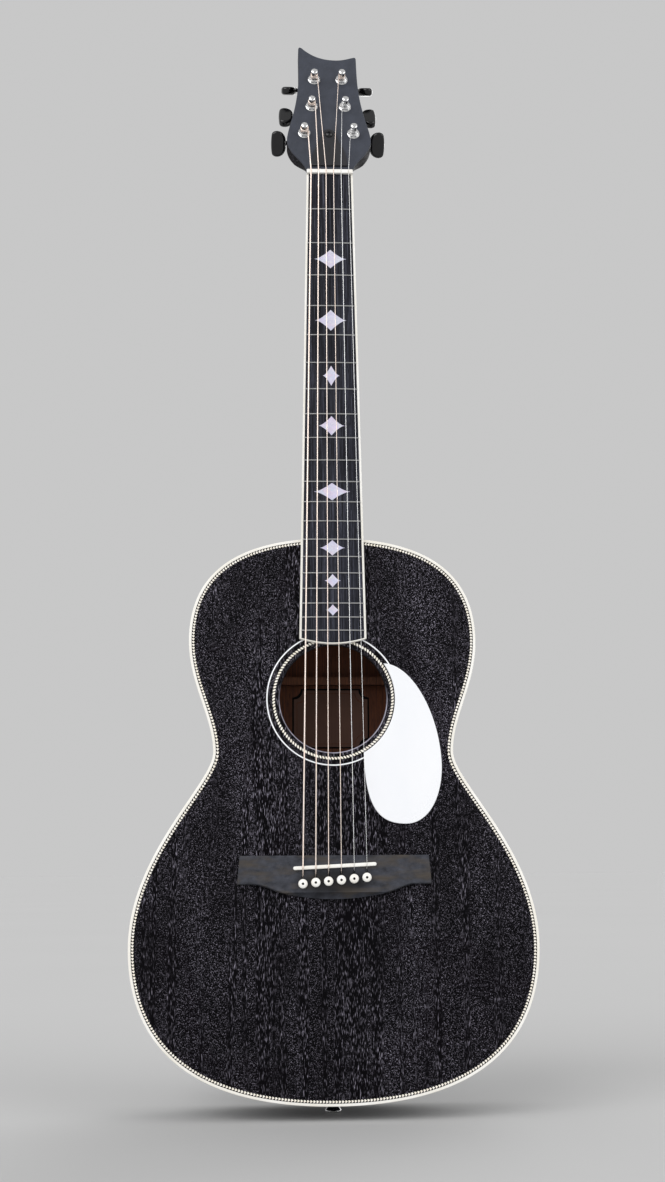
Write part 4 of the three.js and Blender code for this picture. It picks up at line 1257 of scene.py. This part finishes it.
def make_tuner_button(name, place, side, turn):
    """Kidney-shaped button on a turned shaft; the button's own frame points along +x."""
    body = "tuner_button_" + name
    place = place @ shift(0, WORM_DEPTH, WORM_OFFSET) @ spin(turn, "X") @ spin(180 if side < 0 else 0, "Y")
    low, high, reach = 17.0, 31.2, 12.3
    tip, corner = high - 0.6, reach - 3.6
    root, foot = (low, 4), (low, -4)
    lower_lobe = (low + 1, -reach - 1), (high - 1.5, -reach - 1.6), (tip, -corner), 14
    waist = (high + 0.25, -4), (high + 0.25, 4), (tip, corner), 8
    upper_lobe = (high - 1.5, reach + 1.6), (low + 1, reach + 1), root, 14
    ring = path(root, (foot, foot, foot, 2), lower_lobe, waist, upper_lobe)[1:]
    grip = plate(ring, -3.7, 3.7, 2.6, 2.6, 7)
    make("button_" + name, grip, BLACK_PLASTIC, "black_plastic", body, place, [body], sharp=60)
    stem = [(0, 6), (1.75, 6), (1.75, 13.6), (2.7, 13.8), (2.9, 14.4), (2.9, 16.2)]
    stem += [(3.6, 17.2), (3.6, 17.8), (0, 17.8)]
    cap = [(0, 30.6), (2.0, 30.6), (2.0, 31.0), *dome(1.9, 31.1, 31.5, 3)]
    shaft = moved(joined(turned(stem, 28), turned(cap, 28)), along_x(1))
    make("button_shaft_" + name, shaft, CHROME, "chrome", body, place)


# ---- strings


def make_string(i, name, gauge, side, row):
    """From its ball under the bridge plate over saddle and nut to its post. The plain strings
    are 0.1 mm thicker than their gauge, so that they show."""
    radius = gauge / 2 if gauge > THINNEST_WOUND else gauge / 2 + 0.05
    x, z = pin_x(i), pin_z(i) + STRING_OFFSET
    front, under, crest = bridge_low.y, TOP_Y + PLATE + 4, saddle_at(x)
    over_saddle, in_nut = saddle_low.y - radius - 0.1, NUT_SLOT_Y - radius
    post_x, h, _turn = POSTS[row]
    at_post = HEAD_FRAME @ Vector((side * (post_x - POST_WAIST - radius - 0.05), WINDING_Y - radius, h))
    route = [
        (x, under, z),
        (x, front + 4, z),
        (x, front + 1.8, z + 0.4),
        (x, over_saddle + 0.5, crest - 1.9),
        (x, over_saddle, crest - 0.9),
        (x, over_saddle, crest + 0.9),
        (nut_x(i), in_nut, nut_low.z),
        (nut_x(i), in_nut + 0.05, nut_high.z - 0.6),
        tuple(at_post),
    ]
    section = [(0, -1.6), (1.2, -1.5), (1.9, 0), (1.2, 1.5), (0, 1.6)]
    ball = turned([(r, under + y) for r, y in section], 16, x, z)
    shape = joined(tube(route, radius), marked(ball, 1))
    metal_used, slot = string_finish(gauge)
    make("wire_" + name, shape, [metal_used, BRASS], slot, stands_for=["string_" + name], sharp=50)


# ---- small parts


def make_strap_pin():
    _low, high = box_mm("strap_pin")
    profile = [(0, 0), (5.6, 0.05), (6.6, 0.5), (7, 1.4), (6.8, 2.4), (5.6, 3.6), (4.5, 5.2)]
    profile += [(4.2, 7), (4.4, 9), (5.2, 10.6), (6, 11.4), (6, 11.8), (2.4, 11.8)]
    profile += [(2.4, high.z - 6), (0, high.z)]
    shape = moved(turned(profile, 48), spin(90, "X"))
    make("strap_button", shape, CHROME, "chrome", stands_for=["strap_pin"])


def make_label():
    """Blank paper label on the back's inside, with hollow corners and a dark border."""
    middle, half, low, high, notch = 1.65, 36, 318, 373.8, 8

    def outline(inset):
        left, right, bottom, top = middle - half + inset, middle + half - inset, low + inset, high - inset
        ring = []
        for x, z, start in ((right, top, 270), (left, top, 0), (left, bottom, 90), (right, bottom, 180)):
            ring += arc(notch + inset * 0.2, start, start - 90, 8, x, z)
        return ring

    rings = [lifted(outline(0), lambda z: back_y(z, PLATE + 0.02))]
    for inset in (0, 0.1, 1.6, 4.2, 4.7, 5.0):
        rings.append(lifted(outline(inset), lambda z: back_y(z, PLATE + 0.2)))
    # the second band inwards is the dark border, the fourth a thin brown line
    shape = skin(rings, mark=lambda r, i: {2: 1, 4: 2}.get(r, 0))
    make("paper_label", shape, [PAPER, HERRING_DARK, BROWN], "label_paper")


def dress_cad_parts():
    """Inner parts whose CAD shape is right only take a finish."""
    finishes = [
        (BLOCK, ["neck_block", "tail_block", "bridge_plate"]),
        (SPRUCE, ["x_brace_bass", "x_brace_treble", "transverse_brace"]),
        # painted shade: the back braces take a brown darker than their spruce
        (BRACE_IN_PAINTED_SHADE, ["back_brace_upper", "back_brace_lower"]),
        (STEEL, ["truss_rod"]),
    ]
    for material, names in finishes:
        for node in (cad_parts[name] for name in names):
            if not node.material_slots:
                node.data.materials.append(material)
            for slot in node.material_slots:
                slot.material = material


# ---- camera, light and floor

LENS = 46.46
CAMERA_PLACE = (-0.0614, -1.38532, 0.20775)
CAMERA_PITCH, CAMERA_ROLL, CAMERA_YAW = 10.334, -0.41, -2.642
FLOOR_TONE = 0.6
FLOOR_GAP = 0.0005  # metres below the guitar
SKY = 0.54  # brightness of the even light from all round
LAMP_SOFTNESS = 50
# strength and direction towards each lamp
LAMPS = {
    "key_light": (1.4, (-0.55, -0.75, 0.5)),
    "fill_light": (0.9, (0.75, -0.65, 0.3)),
    "back_light": (0.9, (0.45, 0.8, 0.45)),
}


def make_camera():
    """The photo's viewpoint, found from the frets, the strings and the body's outline."""
    data = bpy.data.cameras.new("camera")
    data.sensor_width = 36
    data.lens = LENS
    camera = added("camera", data)
    turn = spin(CAMERA_YAW, "Z") @ spin(90 + CAMERA_PITCH, "X") @ spin(CAMERA_ROLL, "Z")
    camera.matrix_world = shift(*CAMERA_PLACE) @ turn
    bpy.context.scene.camera = camera


def make_lamps():
    """Broad soft lamps, so far away that the floor is lit evenly. Returns what the floor gets."""
    on_floor = 0.0
    for name, (strength, towards) in LAMPS.items():
        data = bpy.data.lights.new(name, "SUN")
        data.energy = strength
        data.angle = radians(LAMP_SOFTNESS)
        lamp = added(name, data)
        lamp.rotation_mode = "QUATERNION"
        lamp.rotation_quaternion = Vector(towards).to_track_quat("Z", "Y")
        on_floor += strength * Vector(towards).normalized().z / pi
    return on_floor


def make_world(backdrop):
    """Even light all round; the camera sees the same pale tone as the floor's."""
    world = bpy.data.worlds.new("studio")
    bpy.context.scene.world = world
    world.use_nodes = True
    tree = world.node_tree
    seen = tree.nodes["Background"]
    seen.inputs["Color"].default_value = grey(backdrop)
    given = tree.nodes.new("ShaderNodeBackground")
    given.inputs["Color"].default_value = grey(SKY)
    path = tree.nodes.new("ShaderNodeLightPath")
    choose = tree.nodes.new("ShaderNodeMixShader")
    tree.links.new(path.outputs["Is Camera Ray"], choose.inputs[0])
    tree.links.new(given.outputs[0], choose.inputs[1])
    tree.links.new(seen.outputs[0], choose.inputs[2])
    tree.links.new(choose.outputs[0], tree.nodes["World Output"].inputs["Surface"])


def make_floor():
    """A disc so wide that its rim stays out of sight, just under the guitar."""
    corners = [(x, y, 0) for x, y in circle(60, 96)]
    mesh = bpy.data.meshes.new("floor")
    mesh.from_pydata(corners, [], [tuple(range(len(corners)))])
    mesh.materials.append(floor_finish())
    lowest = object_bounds()[0].z
    floor = added("floor", mesh)
    floor.location.z = lowest - FLOOR_GAP


def make_studio():
    bpy.context.scene.view_settings.view_transform = "Standard"
    make_world(FLOOR_TONE * (SKY + make_lamps()))
    make_floor()


# ---- the whole guitar

make_camera()
make_soundboard()
make_bindings()
make_purfling()
make_rosette()
make_sides()
make_back()
make_linings()
make_pickguard()
make_bridge()
make_saddle()
make_bridge_pins()
make_fingerboard()
make_board_binding()
make_frets()
make_inlays()
make_side_dots()
make_nut()
make_neck()
make_heel_cap()
make_headstock()
make_rod_cover()
for index, (string, gauge, side, row, turns) in enumerate(STRINGS):
    post_x, height, turn = POSTS[row]
    post_place = HEAD_FRAME @ shift(side * post_x, 0, height)
    make_tuner_case(string, post_place, side)
    screw_place = side * post_x, HEAD_THICK + EAR_THICK, height - 10.8
    screw("tuner_screw_" + string, 2.3, 1.2, *screw_place, CHROME, "chrome", facing=1)
    make_tuner_nut(string, post_place)
    make_tuner_post(string, post_place, side)
    make_winding(string, post_place, side, gauge, turns)
    make_tuner_button(string, post_place, side, turn)
    make_string(index, string, gauge, side, row)
make_strap_pin()
make_label()
dress_cad_parts()
make_studio()
